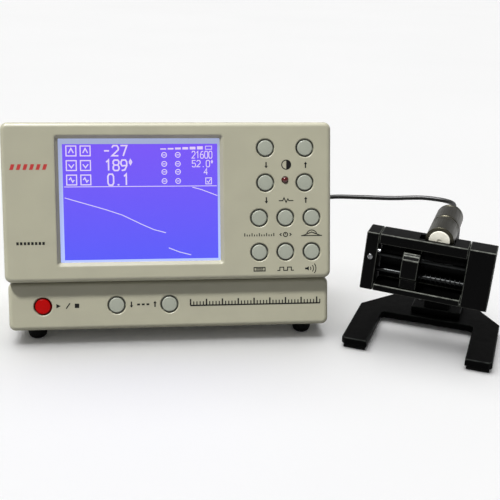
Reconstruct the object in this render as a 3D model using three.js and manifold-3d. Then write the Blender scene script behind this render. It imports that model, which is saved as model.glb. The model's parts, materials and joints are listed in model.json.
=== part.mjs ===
// Timegrapher: a bench instrument that listens to a watch, with its test stand and signal cable.
// Millimetres, +X to the instrument's right, +Y to its rear, +Z up. It stands on z = 0, and the
// origin is the middle of the set's footprint.
import * as THREE from 'three';
import { mergeVertices } from 'three/addons/utils/BufferGeometryUtils.js';
import Module from 'manifold-3d';

const wasm = await Module();
wasm.setup();

// ---- driving dimensions ---------------------------------------------------------------------
const GAP = 0.3;                                    // between pieces that touch
const LEAN = THREE.MathUtils.degToRad(16);          // how far the front leans back
const UNIT = { x: -70.3, y: -21.8, floor: 51.5, width: 250, depth: 108 };
const BEZEL = { height: 120.8, rim: 18, wall: 3, corner: 5.5, round: 3.8 };
const LOWER = { width: 249, height: 38.3, step: 8.6, wall: 3, corner: 5, round: 3.8 };
const SHELL = { width: 248, wall: 2.5, belly: -41.5, split: 10, top: 119.8, round: 3 };
const SCREEN = { u: -21.9, v: 61.8, width: 121.7, height: 93.8, bevel: 3.6, glass: 1.6, module: 8 };
const BUTTON = { cap: 5.8, hole: 6.95, proud: 0.5, flange: 8.3, lip: 1.5, stem: 3, reach: 8.5, sides: 16 };
const BOARD = { thick: 1.6, behindKeys: 2.2, overTray: 8 };
const FOOT = { radius: 7.3, height: 9.7, x: 105.5, front: 14, rear: 93 };
const REAR_PLATE = { width: 242, thick: 2.5, inset: 2 };

const STAND = { x: 117.65, y: -62, turn: THREE.MathUtils.degToRad(-25.57) };
const BASE = {
  x: -2.4, y: -4, width: 114.6, leg: 20, inner: 59.5, side: 69, rearHalf: 26, depth: 110, cut: 2.5,
};
const PLATE = { low: 2.9, thick: 6 };
const POST = { half: 10, front: 64, rear: 88, top: 5, shoe: 20, shoeThick: 5.7, shoeRear: 94 };
const AXIS = { x: 3.2, z: 85.7, swivel: THREE.MathUtils.degToRad(2.4) };
const BARREL = { radius: 10.9, front: 31, joint: 60.7, rear: 90, end: 95, bore: 4.3, shaft: 4 };
const CRADLE = { left: -54.5, right: 43.2, height: 45.4, lowFront: 19, topFront: 25, back: 44.7 };
const CHANNEL = { top: 8, bottom: 5, back: 5, notch: 29.5, fixedJaw: 10, endBlock: 20 };
const JAW = { left: -24.5, width: 13, top: -11.6, lip: 4, lipTop: -13.4, lipLow: -32 };
const ROD = { radius: 2, hole: 2.3, slide: 2.4, y: 32, high: -19, low: -32, left: -50.5, right: 37.2 };
const SENSOR = { radius: 1.5, y: 25.5, z: -14, start: -51.2, end: -42 };
const SPRING = { radius: 3.6, closed: 6 };

const CABLE = { radius: 2, sides: 8 };
const COIL = { x: -30.3, y: 133.2, inner: 19.8, outer: 24.2, low: 0.1, high: 21 };
const SOCKET = { x: -90.3, z: 46, radius: 8, proud: 3 };
const REACH = 200;                                  // half size of a tool that cuts right across
const PAST = 5;                                     // how far a cutting tool runs past a face

// ---- helpers --------------------------------------------------------------------------------
const group = new THREE.Group();

const finish = (color, roughness, metalness = 0) =>
  new THREE.MeshStandardMaterial({ color, roughness, metalness });

const FINISH = {
  beige: finish(0xb9b59c, 0.5),
  grey: finish(0xa3a294, 0.45),
  red: finish(0xc4100e, 0.35),
  lcd: finish(0x6f5cf0, 0.2),
  glass: finish(0x8fa4e8, 0.1),
  led: finish(0x5a0c0c, 0.25),
  black: finish(0x141414, 0.45),
  rubber: finish(0x101010, 0.8),
  board: finish(0x1d5a34, 0.6),
  steel: finish(0xc0c2c4, 0.25, 1),
  alloy: finish(0xa5a193, 0.35, 1),
  nylon: finish(0xe9e6da, 0.5),
};

function toSolid(geometry) {
  const bare = geometry.clone();
  bare.deleteAttribute('normal');
  bare.deleteAttribute('uv');
  const welded = mergeVertices(bare, 1e-4);
  return new wasm.Manifold(new wasm.Mesh({
    numProp: 3,
    vertProperties: new Float32Array(welded.attributes.position.array),
    triVerts: new Uint32Array(welded.index.array),
  }));
}

function toGeometry(solid) {
  const mesh = solid.getMesh();
  const geometry = new THREE.BufferGeometry();
  geometry.setAttribute('position', new THREE.BufferAttribute(mesh.vertProperties, 3));
  geometry.setIndex(new THREE.BufferAttribute(mesh.triVerts, 1));
  geometry.computeVertexNormals();
  return geometry;
}

function cut(body, ...tools) {
  return toGeometry(tools.reduce((rest, tool) => rest.subtract(toSolid(tool)), toSolid(body)));
}

function join(body, ...others) {
  return toGeometry(others.reduce((whole, other) => whole.add(toSolid(other)), toSolid(body)));
}

function keep(body, tool) {
  return toGeometry(toSolid(body).intersect(toSolid(tool)));
}

function box(xs, ys, zs) {
  const [x0, x1] = xs;
  const [y0, y1] = ys;
  const [z0, z1] = zs;
  return new THREE.BoxGeometry(x1 - x0, y1 - y0, z1 - z0)
    .translate((x0 + x1) / 2, (y0 + y1) / 2, (z0 + z1) / 2);
}

// a round bar along Z
function bar(radius, z0, z1, x = 0, y = 0, sides = 24) {
  return new THREE.CylinderGeometry(radius, radius, z1 - z0, sides)
    .rotateX(Math.PI / 2).translate(x, y, (z0 + z1) / 2);
}

// a turned piece about Z, from [radius, z] points
function turned(points, sides = 24) {
  return new THREE.LatheGeometry(points.map(([r, z]) => new THREE.Vector2(r, z)), sides)
    .rotateX(Math.PI / 2);
}

// pieces made along Z are laid along Y or X, z becoming y or x
const alongY = (geometry) => geometry.rotateX(-Math.PI / 2);
const alongX = (geometry) => geometry.rotateY(Math.PI / 2);

function roundedShape(width, height, radius, x = 0, y = 0) {
  const shape = new THREE.Shape();
  const [w, h] = [width / 2, height / 2];
  shape.moveTo(x - w + radius, y - h);
  shape.lineTo(x + w - radius, y - h);
  shape.absarc(x + w - radius, y - h + radius, radius, -Math.PI / 2, 0);
  shape.absarc(x + w - radius, y + h - radius, radius, 0, Math.PI / 2);
  shape.absarc(x - w + radius, y + h - radius, radius, Math.PI / 2, Math.PI);
  shape.absarc(x - w + radius, y - h + radius, radius, Math.PI, Math.PI * 1.5);
  return shape;
}

function polygon(points) {
  return new THREE.Shape(points.map(([x, y]) => new THREE.Vector2(x, y)));
}

function extrude(shape, depth, extra = {}) {
  return new THREE.ExtrudeGeometry(shape, { depth, bevelEnabled: false, curveSegments: 4, ...extra });
}

// a plate whose front edge (towards +Z) is rounded, with its front face at z = front
function roundedPlate(width, height, corner, round, back, front, y) {
  const deep = extrude(roundedShape(width, height, corner, 0, y), front - back, {
    bevelEnabled: true, bevelThickness: round, bevelSize: round, bevelOffset: -round, bevelSegments: 3,
  }).translate(0, 0, back - round);
  return keep(deep, box([-width, width], [y - height, y + height], [back, front + 1]));
}

// extrudes a (y, z) outline along X
function alongWidth(points, x0, x1, extra = {}) {
  const swap = new THREE.Matrix4().makeBasis(
    new THREE.Vector3(0, 1, 0), new THREE.Vector3(0, 0, 1), new THREE.Vector3(1, 0, 0));
  return extrude(polygon(points), x1 - x0, extra).applyMatrix4(swap).translate(x0, 0, 0);
}

function add(parent, name, geometry, material) {
  const mesh = new THREE.Mesh(geometry, material);
  mesh.name = name;
  parent.add(mesh);
  return mesh;
}

// ---- the instrument -------------------------------------------------------------------------
const unit = new THREE.Group();
unit.position.set(UNIT.x, UNIT.y, UNIT.floor);
group.add(unit);

// in this group x is across, y up the front and z out of it, from the upper panel's lower edge
const front = new THREE.Group();
front.rotation.x = Math.PI / 2 - LEAN;
unit.add(front);

const KEYS = [
  ['contrast_down', 73.8, 101], ['contrast_up', 104.4, 101],
  ['gain_down', 73.8, 74.4], ['gain_up', 104.4, 74.4],
  ['beat_number', 68.9, 47.4], ['mode', 89.3, 47.4], ['lift_angle', 109.8, 47.4],
  ['print', 68.9, 20.9], ['period', 89.3, 20.9], ['speaker_key', 109.8, 20.9],
];
const LOWER_KEYS = [['start_stop', -98.2], ['value_down', -41.9], ['value_up', -1.1]];
const LOWER_KEY_HEIGHT = -19.5;
const LED = { u: 89.1, v: 76.5, radius: 2.3, hole: 2.7 };

function keyCap() {
  const { cap, proud, flange, lip, stem, reach, sides } = BUTTON;
  const stop = -BEZEL.wall - 2 * GAP;
  return turned([
    [0, -reach], [stem, -reach], [stem, stop - lip], [flange, stop - lip], [flange, stop],
    [cap, stop], [cap, proud - 0.6], [cap - 0.6, proud], [0, proud],
  ], sides);
}

function frontBezel() {
  const { height, rim, wall, corner, round } = BEZEL;
  const { u, v, width, height: high, bevel } = SCREEN;
  const shell = roundedPlate(UNIT.width, height, corner, round, -rim, 0, height / 2);
  const hollow = box([-UNIT.width / 2 + wall, UNIT.width / 2 - wall], [wall, height - wall],
    [-rim - PAST, -wall]);
  const slope = box([-0.5, 0.5], [-0.5, 0.5], [-wall - 1, 1]);
  const place = slope.attributes.position;
  for (let i = 0; i < place.count; i += 1) {
    const spread = (place.getZ(i) + wall) * (bevel / wall);
    place.setX(i, u + place.getX(i) * (width + 2 * spread));
    place.setY(i, v + place.getY(i) * (high + 2 * spread));
  }
  const holes = KEYS.map(([, x, y]) => bar(BUTTON.hole, -wall - 1, 1, x, y, BUTTON.sides));
  holes.push(bar(LED.hole, -wall - 1, 1, LED.u, LED.v, 12));
  return cut(shell, hollow, slope, ...holes);
}

function lowerPanel() {
  const { width, height, step, wall, corner, round } = LOWER;
  const top = -GAP;
  const middle = (top - height) / 2;
  const shell = roundedPlate(width, height + top, corner, round, -BEZEL.rim, -step, middle);
  const hollow = box([-width / 2 + wall, width / 2 - wall], [-height + wall, top - wall],
    [-BEZEL.rim - PAST, -step - wall]);
  const holes = LOWER_KEYS.map(([, x]) =>
    bar(BUTTON.hole, -step - wall - 1, -step + 1, x, LOWER_KEY_HEIGHT, BUTTON.sides));
  return cut(shell, hollow, ...holes);
}

// a point on the front's side view, as [y, z], from its height v and its distance behind
function sideView(v, behind) {
  return [v * Math.sin(LEAN) + behind * Math.cos(LEAN), v * Math.cos(LEAN) - behind * Math.sin(LEAN)];
}

// height up the leaning front at which it crosses a level z
const heightAt = (z, behind) => (z + behind * Math.sin(LEAN)) / Math.cos(LEAN);

// side view of the shell, moved in by a margin from its outside
function shellOutline(inset, start, rear) {
  const low = SHELL.belly + inset;
  const top = SHELL.top - inset;
  const corner = sideView(top, start);
  const drop = (rear - corner[0]) * Math.tan(LEAN);
  return [sideView(heightAt(low, start), start), [rear, low], [rear, corner[1] - drop], corner];
}

function shellTube() {
  const { width, wall, round } = SHELL;
  const start = BEZEL.rim + GAP;
  const half = width / 2;
  const block = alongWidth(shellOutline(0, start - PAST, UNIT.depth), -half, half, {
    depth: width - 2 * round, bevelEnabled: true, bevelThickness: round, bevelSize: round,
    bevelOffset: -round, bevelSegments: 2,
  }).translate(round, 0, 0);
  const inside = shellOutline(wall, start - 2 * PAST, UNIT.depth + PAST);
  const hollow = alongWidth(inside, -half + wall, half - wall);
  const ahead = alongWidth([
    sideView(-REACH, start), sideView(REACH, start), sideView(REACH, -REACH), sideView(-REACH, -REACH),
  ], -half - PAST, half + PAST);
  return cut(block, hollow, ahead);
}

const tube = shellTube();
const across = [-REACH, REACH];
const topCover = () => keep(tube, box(across, across, [SHELL.split + GAP / 2, REACH]));
const baseTray = () => keep(tube, box(across, across, [-REACH, SHELL.split - GAP / 2]));

const REAR = {
  inner: UNIT.depth - REAR_PLATE.inset - REAR_PLATE.thick,
  outer: UNIT.depth - REAR_PLATE.inset,
};
const PORTS = {
  rocker: { x: 95, z: -6, width: 13.4, height: 19.4 },
  power: { x: 66, z: -6, width: 14, height: 11, bore: 3.2, deep: 8 },
  printer: { x: 22, z: -6, width: 32, height: 12, mouth: 13, mouthHigh: 4, deep: 4, proud: 4 },
  speaker: { x: 60, z: 45, half: 17, taper: 3, pitch: 5, high: 2 },
};

const portHole = ({ x, z, width, height }, spare = GAP) =>
  box([x - width / 2 - spare, x + width / 2 + spare], [REAR.inner - 1, REAR.outer + 1],
    [z - height / 2 - spare, z + height / 2 + spare]);

function rearPanel() {
  const low = SHELL.belly + SHELL.wall + GAP;
  const inset = SHELL.wall + GAP;
  const [, , , corner] = shellOutline(inset, BEZEL.rim, REAR.outer);
  const high = corner[1] - (REAR.outer - corner[0]) * Math.tan(LEAN);
  const plate = box([-REAR_PLATE.width / 2, REAR_PLATE.width / 2], [REAR.inner, REAR.outer], [low, high]);
  const slots = [];
  const { x, z, half, taper, pitch, high: slotHigh } = PORTS.speaker;
  for (let row = -3; row <= 3; row += 1) {
    const reach = half - Math.abs(row) * taper;
    const middle = z + row * pitch;
    slots.push(box([x - reach, x + reach], [REAR.inner - 1, REAR.outer + 1],
      [middle - slotHigh / 2, middle + slotHigh / 2]));
  }
  const jack = alongY(bar(SOCKET.radius + GAP, REAR.inner - 1, REAR.outer + 1))
    .translate(SOCKET.x - UNIT.x, 0, SOCKET.z - UNIT.floor);
  return cut(plate, portHole(PORTS.rocker), portHole(PORTS.power), portHole(PORTS.printer), jack, ...slots);
}

add(front, 'front_bezel', frontBezel(), FINISH.beige);
add(front, 'lower_panel', lowerPanel(), FINISH.beige);
add(unit, 'top_cover', topCover(), FINISH.beige);
add(unit, 'base_tray', baseTray(), FINISH.beige);
add(unit, 'rear_panel', rearPanel(), FINISH.beige);

for (const [name, u, v] of KEYS) {
  add(front, `button_${name}`, keyCap(), FINISH.grey).position.set(u, v, 0);
}
for (const [name, u] of LOWER_KEYS) {
  const paint = name === 'start_stop' ? FINISH.red : FINISH.grey;
  add(front, `button_${name}`, keyCap(), paint).position.set(u, LOWER_KEY_HEIGHT, -LOWER.step);
}

// a sheet behind the screen opening, larger than it by an overlap all round
function screenSheet(overlap, back, ahead) {
  const [halfWidth, halfHeight] = [SCREEN.width / 2 + overlap, SCREEN.height / 2 + overlap];
  return box([SCREEN.u - halfWidth, SCREEN.u + halfWidth], [SCREEN.v - halfHeight, SCREEN.v + halfHeight],
    [back, ahead]);
}
const glassFront = -BEZEL.wall - GAP;
const lcdFront = glassFront - SCREEN.glass - GAP;
add(front, 'screen_window', screenSheet(4, glassFront - SCREEN.glass, glassFront), FINISH.glass);
add(front, 'lcd_module', screenSheet(6, lcdFront - SCREEN.module, lcdFront), FINISH.lcd);
add(front, 'signal_led', turned([
  [0, -7], [LED.radius, -7], [LED.radius, 0.4], [LED.radius * 0.7, 1.1], [0, 1.4],
], 12), FINISH.led).position.set(LED.u, LED.v, 0);

const boardFront = -BUTTON.reach - BOARD.behindKeys;
const boardSpan = (ahead) => [ahead - BOARD.thick, ahead];
add(front, 'key_board', box([60, 119], [8, 112], boardSpan(boardFront)), FINISH.board);
add(front, 'lower_key_board', box([-108, 9], [-28, -11], boardSpan(boardFront - LOWER.step)), FINISH.board);
add(unit, 'main_board', box([-100, 100], [28, 88], boardSpan(SHELL.belly + BOARD.overTray + BOARD.thick)),
  FINISH.board);

function footShape() {
  const { radius, height } = FOOT;
  return turned([
    [0, 0], [radius * 0.5, 0], [radius * 0.78, 0.9], [radius * 0.95, 3.2], [radius, 6],
    [radius, height], [0, height],
  ], 20);
}
for (const [side, x] of [['left', -FOOT.x], ['right', FOOT.x]]) {
  for (const [end, y] of [['front', FOOT.front], ['rear', FOOT.rear]]) {
    add(unit, `foot_${end}_${side}`, footShape(), FINISH.rubber).position.set(x, y, -UNIT.floor);
  }
}

// sockets and switch on the rear
function centred(width, ys, height) {
  return box([-width / 2, width / 2], ys, [-height / 2, height / 2]);
}
const rockerPort = PORTS.rocker;
const housing = cut(
  join(
    centred(rockerPort.width, [REAR.inner - 11, REAR.outer + 0.5], rockerPort.height),
    centred(rockerPort.width + 3.2, [REAR.outer + GAP, REAR.outer + 1.8], rockerPort.height + 3.2)),
  centred(9.2, [REAR.inner - 7, REAR.outer + PAST], 14.8));
add(unit, 'power_switch_housing', housing.translate(rockerPort.x, 0, rockerPort.z), FINISH.black);

// the rocker turns about a pin along X; its outside is two flats that meet in a shallow vee
const ROCKER = { pin: REAR.outer - 1.6, half: 6.4, tilt: THREE.MathUtils.degToRad(9) };
const rocker = alongWidth([
  [-3, -3.4], [-3, 3.4], [1.2, ROCKER.half], [3.2, ROCKER.half], [2.6, 0], [3.2, -ROCKER.half],
  [1.2, -ROCKER.half],
], -4.1, 4.1);
rocker.rotateX(ROCKER.tilt).translate(rockerPort.x, ROCKER.pin, rockerPort.z);
add(unit, 'power_rocker', rocker, FINISH.black);

const powerPort = PORTS.power;
const inlet = cut(
  centred(powerPort.width, [REAR.inner - 12, REAR.outer + 0.8], powerPort.height),
  alongY(bar(powerPort.bore, REAR.outer - powerPort.deep, REAR.outer + PAST)));
add(unit, 'power_inlet', inlet.translate(powerPort.x, 0, powerPort.z), FINISH.black);

const printerPort = PORTS.printer;
const mouthSpan = [REAR.outer - printerPort.deep, REAR.outer + printerPort.proud + PAST];
const printerShell = cut(
  centred(printerPort.width, [REAR.inner - 9, REAR.outer + printerPort.proud], printerPort.height),
  centred(2 * printerPort.mouth, mouthSpan, 2 * printerPort.mouthHigh));
add(unit, 'printer_port', printerShell.translate(printerPort.x, 0, printerPort.z), FINISH.steel);

const jackAt = [SOCKET.x - UNIT.x, 0, SOCKET.z - UNIT.floor];
add(unit, 'signal_socket', turned([
  [0, REAR.inner - 10], [SOCKET.radius, REAR.inner - 10], [SOCKET.radius, REAR.outer + SOCKET.proud],
  [5, REAR.outer + SOCKET.proud], [5, REAR.outer - 6], [0, REAR.outer - 6],
], 20).rotateX(-Math.PI / 2).translate(...jackAt), FINISH.steel);

add(unit, 'speaker', turned([
  [0, REAR.inner - 20], [11, REAR.inner - 20], [11, REAR.inner - 12], [20, REAR.inner - 4],
  [22, REAR.inner - 4], [22, REAR.inner - GAP], [0, REAR.inner - GAP],
], 20).rotateX(-Math.PI / 2).translate(PORTS.speaker.x, 0, PORTS.speaker.z), FINISH.black);

// ---- the test stand -------------------------------------------------------------------------
const stand = new THREE.Group();
stand.position.set(STAND.x, STAND.y, 0);
stand.rotation.z = STAND.turn;
group.add(stand);

// in this group x is to the right, y to the rear from the front ends of the legs and z up
function basePlate() {
  const { width, leg, inner, side, rearHalf, depth, cut: chamfer } = BASE;
  const half = width / 2;
  const rightSide = [
    [half - leg - chamfer, inner], [half - leg, inner - chamfer], [half - leg, 0], [half - chamfer, 0],
    [half, chamfer], [half, side], [rearHalf, depth],
  ];
  const leftSide = rightSide.slice().reverse().map(([x, y]) => [-x, y]);
  const outline = [...rightSide, ...leftSide];
  return extrude(polygon(outline), PLATE.thick).translate(0, 0, PLATE.low);
}

const plateTop = PLATE.low + PLATE.thick;
const base = new THREE.Group();
base.position.set(BASE.x, BASE.y, 0);
stand.add(base);
add(base, 'stand_base', basePlate(), FINISH.black);

const PADS = [
  ['front_left', -47, 9.5], ['front_right', 47, 9.5], ['rear_left', -26, 92], ['rear_right', 26, 92],
];
for (const [name, x, y] of PADS) {
  const pad = name.startsWith('front') ? box([-8.5, 8.5], [-8.5, 8.5], [0, PLATE.low - GAP])
    : bar(8, 0, PLATE.low - GAP, 0, 0, 16);
  add(base, `stand_pad_${name}`, pad, FINISH.rubber).position.set(x, y, 0);
}

const saddleTop = AXIS.z - POST.top;
const along = (radius, y0, y1, sides = 24) => alongY(bar(radius, y0, y1, 0, 0, sides));
const post = cut(
  join(
    box([AXIS.x - POST.half, AXIS.x + POST.half], [POST.front, POST.rear], [plateTop + GAP, saddleTop]),
    box([AXIS.x - POST.shoe, AXIS.x + POST.shoe], [POST.front - 2, POST.shoeRear],
      [plateTop + GAP, plateTop + GAP + POST.shoeThick])),
  along(BARREL.radius + GAP, POST.front - PAST, POST.rear + PAST, 32).translate(AXIS.x, 0, AXIS.z));
add(stand, 'stand_post', post, FINISH.black);

// the fixed rear half of the barrel, on the post
const fixedHalf = new THREE.Group();
fixedHalf.position.set(AXIS.x, 0, AXIS.z);
stand.add(fixedHalf);
const lay = (points, sides = 28) => alongY(turned(points, sides));

const jointWasher = { front: BARREL.joint + GAP, rear: BARREL.joint + 1.3 };
add(fixedHalf, 'friction_washer', lay([
  [BARREL.bore, jointWasher.front], [BARREL.radius - 0.5, jointWasher.front],
  [BARREL.radius - 0.5, jointWasher.rear], [BARREL.bore, jointWasher.rear], [BARREL.bore, jointWasher.front],
]), FINISH.nylon);
const sleeveFront = jointWasher.rear + GAP;
add(fixedHalf, 'bearing_sleeve', lay([
  [BARREL.bore, sleeveFront], [BARREL.radius - 0.4, sleeveFront], [BARREL.radius, sleeveFront + 0.4],
  [BARREL.radius, BARREL.rear], [BARREL.bore, BARREL.rear], [BARREL.bore, sleeveFront],
]), FINISH.alloy);
const capFront = BARREL.rear + GAP;
add(fixedHalf, 'barrel_end_cap', lay([
  [3.6, capFront], [BARREL.radius, capFront], [BARREL.radius, BARREL.end - 1.6],
  [BARREL.radius - 1.6, BARREL.end], [3.6, BARREL.end], [3.6, capFront],
]), FINISH.alloy);
add(fixedHalf, 'cable_gland', lay([
  [0, capFront + 1], [3.3, capFront + 1], [3.3, BARREL.end + GAP], [4.4, BARREL.end + GAP],
  [4.2, BARREL.end + 3], [2.9, BARREL.end + 12], [0, BARREL.end + 12],
], 16), FINISH.rubber);

// the head swivels about the barrel's axis; here x is across, y to the rear and z up from the axis
const head = new THREE.Group();
head.position.set(AXIS.x, 0, AXIS.z);
head.rotation.y = AXIS.swivel;
stand.add(head);

add(head, 'swivel_shaft', along(BARREL.shaft, 50.3, 86, 24), FINISH.steel);
const disc = { radius: 8, front: BARREL.front - 0.4, rear: BARREL.front + 3 };
add(head, 'microphone_barrel', lay([
  [0, disc.rear + GAP], [disc.radius + GAP, disc.rear + GAP], [disc.radius + GAP, BARREL.front],
  [BARREL.radius - 0.6, BARREL.front], [BARREL.radius, BARREL.front + 0.6],
  [BARREL.radius, BARREL.joint - 0.4], [BARREL.radius - 0.4, BARREL.joint], [BARREL.bore, BARREL.joint],
  [BARREL.bore, 50], [0, 50],
]), FINISH.alloy);
add(head, 'barrel_nose_disc', lay([
  [0, disc.front], [disc.radius - 0.5, disc.front], [disc.radius, disc.front + 0.5], [disc.radius, disc.rear],
  [0, disc.rear],
]), FINISH.nylon);

// front faces of the cradle slope back from the bottom to the top
const low = -CRADLE.height;
const frontAt = (z) => CRADLE.lowFront + (CRADLE.topFront - CRADLE.lowFront) * ((z - low) / CRADLE.height);
const innerBack = CRADLE.back - CHANNEL.back;
const bodySpan = [CRADLE.left + CHANNEL.fixedJaw + GAP, CRADLE.right - CHANNEL.endBlock - GAP];

function cradleBody() {
  const [top, bottom] = [-CHANNEL.top, low + CHANNEL.bottom];
  const outline = [
    [frontAt(low), low], [CRADLE.back, low], [CRADLE.back, 0], [frontAt(0), 0], [frontAt(top), top],
    [innerBack, top], [innerBack, bottom], [frontAt(bottom), bottom],
  ];
  const channel = alongWidth(outline, ...bodySpan);
  const notch = box([-15, 12], [CHANNEL.notch, innerBack + 0.01], [top - 1, 1]);
  const seat = along(BARREL.radius + GAP, CHANNEL.notch, 60, 32);
  return cut(channel, notch, seat);
}
add(head, 'cradle_body', cradleBody(), FINISH.black);

const endProfile = [[frontAt(low), low], [CRADLE.back, low], [CRADLE.back, 0], [frontAt(0), 0]];
const rodHole = (z, radius, x0, x1) => alongX(bar(radius, x0, x1, 0, 0, 16)).translate(0, ROD.y, z);
const sensorBar = (radius, x0, x1) =>
  alongX(bar(radius, x0, x1, 0, 0, 12)).translate(0, SENSOR.y, SENSOR.z);

const jawBlock = cut(
  alongWidth(endProfile, CRADLE.left, CRADLE.left + CHANNEL.fixedJaw),
  rodHole(ROD.high, ROD.hole, ROD.left - GAP, 0), rodHole(ROD.low, ROD.hole, ROD.left - GAP, 0),
  sensorBar(SENSOR.radius + GAP, SENSOR.start - GAP, 0));
add(head, 'fixed_jaw', jawBlock, FINISH.black);
const endBlock = cut(
  alongWidth(endProfile, CRADLE.right - CHANNEL.endBlock, CRADLE.right),
  rodHole(ROD.high, ROD.hole, 0, ROD.right + GAP), rodHole(ROD.low, ROD.hole, 0, ROD.right + GAP));
add(head, 'end_block', endBlock, FINISH.black);

add(head, 'sensor_pin', sensorBar(SENSOR.radius, SENSOR.start, SENSOR.end), FINISH.steel);
add(head, 'guide_rod_upper', rodHole(ROD.high, ROD.radius, ROD.left, ROD.right), FINISH.steel);
add(head, 'guide_rod_lower', rodHole(ROD.low, ROD.radius, ROD.left, ROD.right), FINISH.steel);

// a screw head on the fixed jaw's sloping front
const frontSlope = Math.atan2(CRADLE.topFront - CRADLE.lowFront, CRADLE.height);
const jawScrew = turned([[0, 0], [2.2, 0], [2.2, 0.8], [1.4, 1.3], [0, 1.3]], 12)
  .rotateX(Math.PI / 2 - frontSlope).translate(CRADLE.left + 5, frontAt(ROD.high) - GAP, ROD.high);
add(head, 'jaw_screw', jawScrew, FINISH.steel);

function slidingJaw() {
  const clear = 0.6;
  const bottom = low + CHANNEL.bottom + clear;
  // the top passes under the barrel
  const outline = [
    [frontAt(bottom) + 1, bottom], [innerBack - clear, bottom], [innerBack - clear, JAW.top],
    [frontAt(JAW.top) + 1, JAW.top], [frontAt(JAW.lipTop), JAW.lipTop],
    [frontAt(JAW.lipTop) - JAW.lip, JAW.lipTop - 2], [frontAt(JAW.lipLow) - JAW.lip, JAW.lipLow + 2],
    [frontAt(JAW.lipLow), JAW.lipLow],
  ];
  const block = alongWidth(outline, JAW.left, JAW.left + JAW.width);
  const passage = (z) => rodHole(z, ROD.slide, JAW.left - PAST, JAW.left + JAW.width + PAST);
  return cut(block, passage(ROD.high), passage(ROD.low));
}
add(head, 'sliding_jaw', slidingJaw(), FINISH.black);

// the jaw's spring at its shortest, on the lower rod
const spring = cut(
  rodHole(ROD.low, SPRING.radius, bodySpan[1] - SPRING.closed, bodySpan[1]),
  rodHole(ROD.low, ROD.slide, 0, CRADLE.right));
add(head, 'jaw_spring', spring, FINISH.steel);

// ---- the cable ------------------------------------------------------------------------------
const RUN = [
  [166.9, 33.5, 85.7], [169.3, 38.6, 85.7], [172.3, 44.9, 85.7], [175.3, 52.4, 85.7], [175.7, 59.4, 85.7],
  [172.1, 66.2, 85.6], [165.7, 71.2, 85.5], [154.7, 77.6, 85], [128.7, 88.2, 81.6], [103.7, 100.2, 79],
  [78.7, 113.2, 75.4], [54.5, 125.4, 67], [33.5, 135.9, 54], [15.5, 144.6, 37], [2.5, 150.4, 20],
  [-5, 153.4, 9], [-10, 154.8, 3.6], [-14.9, 155.2, 2.2],
];
const TAIL = [
  [-45.7, 155.2, 18.9], [-53.5, 155, 18.1], [-61.5, 153.6, 18], [-69.5, 150.8, 20], [-77.5, 146.4, 24.8],
  [-84.1, 140.4, 31.6], [-88.5, 133, 39.4], [-90.3, 125, 44.7], [-90.3, 117.85, 46],
];
const toPoints = (list) => list.map((point) => new THREE.Vector3(...point));

function cableTube(points, steps) {
  const path = new THREE.CatmullRomCurve3(toPoints(points), false, 'centripetal');
  const ring = [];
  for (let i = 0; i < CABLE.sides; i += 1) {
    const angle = (i / CABLE.sides) * Math.PI * 2;
    ring.push(new THREE.Vector2(CABLE.radius * Math.cos(angle), CABLE.radius * Math.sin(angle)));
  }
  return new THREE.ExtrudeGeometry(new THREE.Shape(ring), { steps, extrudePath: path, bevelEnabled: false });
}
add(group, 'cable_run', cableTube(RUN, 34), FINISH.rubber);
add(group, 'cable_tail', cableTube(TAIL, 12), FINISH.rubber);
const coil = turned([
  [COIL.inner, COIL.low], [COIL.outer, COIL.low], [COIL.outer, COIL.high], [COIL.inner, COIL.high],
  [COIL.inner, COIL.low],
], 28);
add(group, 'cable_coil', coil.translate(COIL.x, COIL.y, 0), FINISH.rubber);

const plugStart = UNIT.y + REAR.outer + SOCKET.proud + GAP;
const plug = turned([
  [0, plugStart - 7], [4.6, plugStart - 7], [4.6, plugStart], [7.4, plugStart], [7.4, plugStart + 16],
  [5.6, plugStart + 18], [3.2, plugStart + 30], [0, plugStart + 30],
], 20).rotateX(-Math.PI / 2).translate(SOCKET.x, 0, SOCKET.z);
add(group, 'signal_plug', plug, FINISH.steel);

export default group;
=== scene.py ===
"""Looks for the timegrapher: an instrument, its test stand and the signal cable between them.

It runs in Blender 4.5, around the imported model. Shapes are drawn in millimetres in the frame of the
part that they belong to, and become metres when their piece is made.
"""

import json
from math import atan2, cos, pi, radians, sin, sqrt, tan
from types import SimpleNamespace as Sizes

import bmesh
import bpy
from mathutils import Matrix, Vector


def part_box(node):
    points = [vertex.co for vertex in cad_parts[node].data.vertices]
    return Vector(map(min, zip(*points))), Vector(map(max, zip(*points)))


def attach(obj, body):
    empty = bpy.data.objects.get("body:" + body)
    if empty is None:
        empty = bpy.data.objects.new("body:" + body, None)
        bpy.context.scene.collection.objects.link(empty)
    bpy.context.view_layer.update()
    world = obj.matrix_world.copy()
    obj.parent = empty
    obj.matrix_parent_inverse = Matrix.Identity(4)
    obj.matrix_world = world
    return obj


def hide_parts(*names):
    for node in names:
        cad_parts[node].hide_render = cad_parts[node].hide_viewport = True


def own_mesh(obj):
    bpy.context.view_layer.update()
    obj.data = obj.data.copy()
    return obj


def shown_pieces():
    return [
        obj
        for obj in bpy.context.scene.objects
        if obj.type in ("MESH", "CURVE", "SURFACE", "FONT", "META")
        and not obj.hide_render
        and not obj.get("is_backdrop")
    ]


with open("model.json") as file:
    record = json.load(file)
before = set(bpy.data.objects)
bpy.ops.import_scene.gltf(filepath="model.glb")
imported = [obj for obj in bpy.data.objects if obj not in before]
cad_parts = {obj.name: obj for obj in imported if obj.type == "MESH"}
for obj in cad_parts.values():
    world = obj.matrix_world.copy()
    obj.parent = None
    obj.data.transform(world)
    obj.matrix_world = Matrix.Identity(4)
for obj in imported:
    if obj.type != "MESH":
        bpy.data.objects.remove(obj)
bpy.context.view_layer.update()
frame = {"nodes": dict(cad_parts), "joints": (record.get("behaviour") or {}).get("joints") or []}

MM = 0.001
GAP = 0.3

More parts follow.
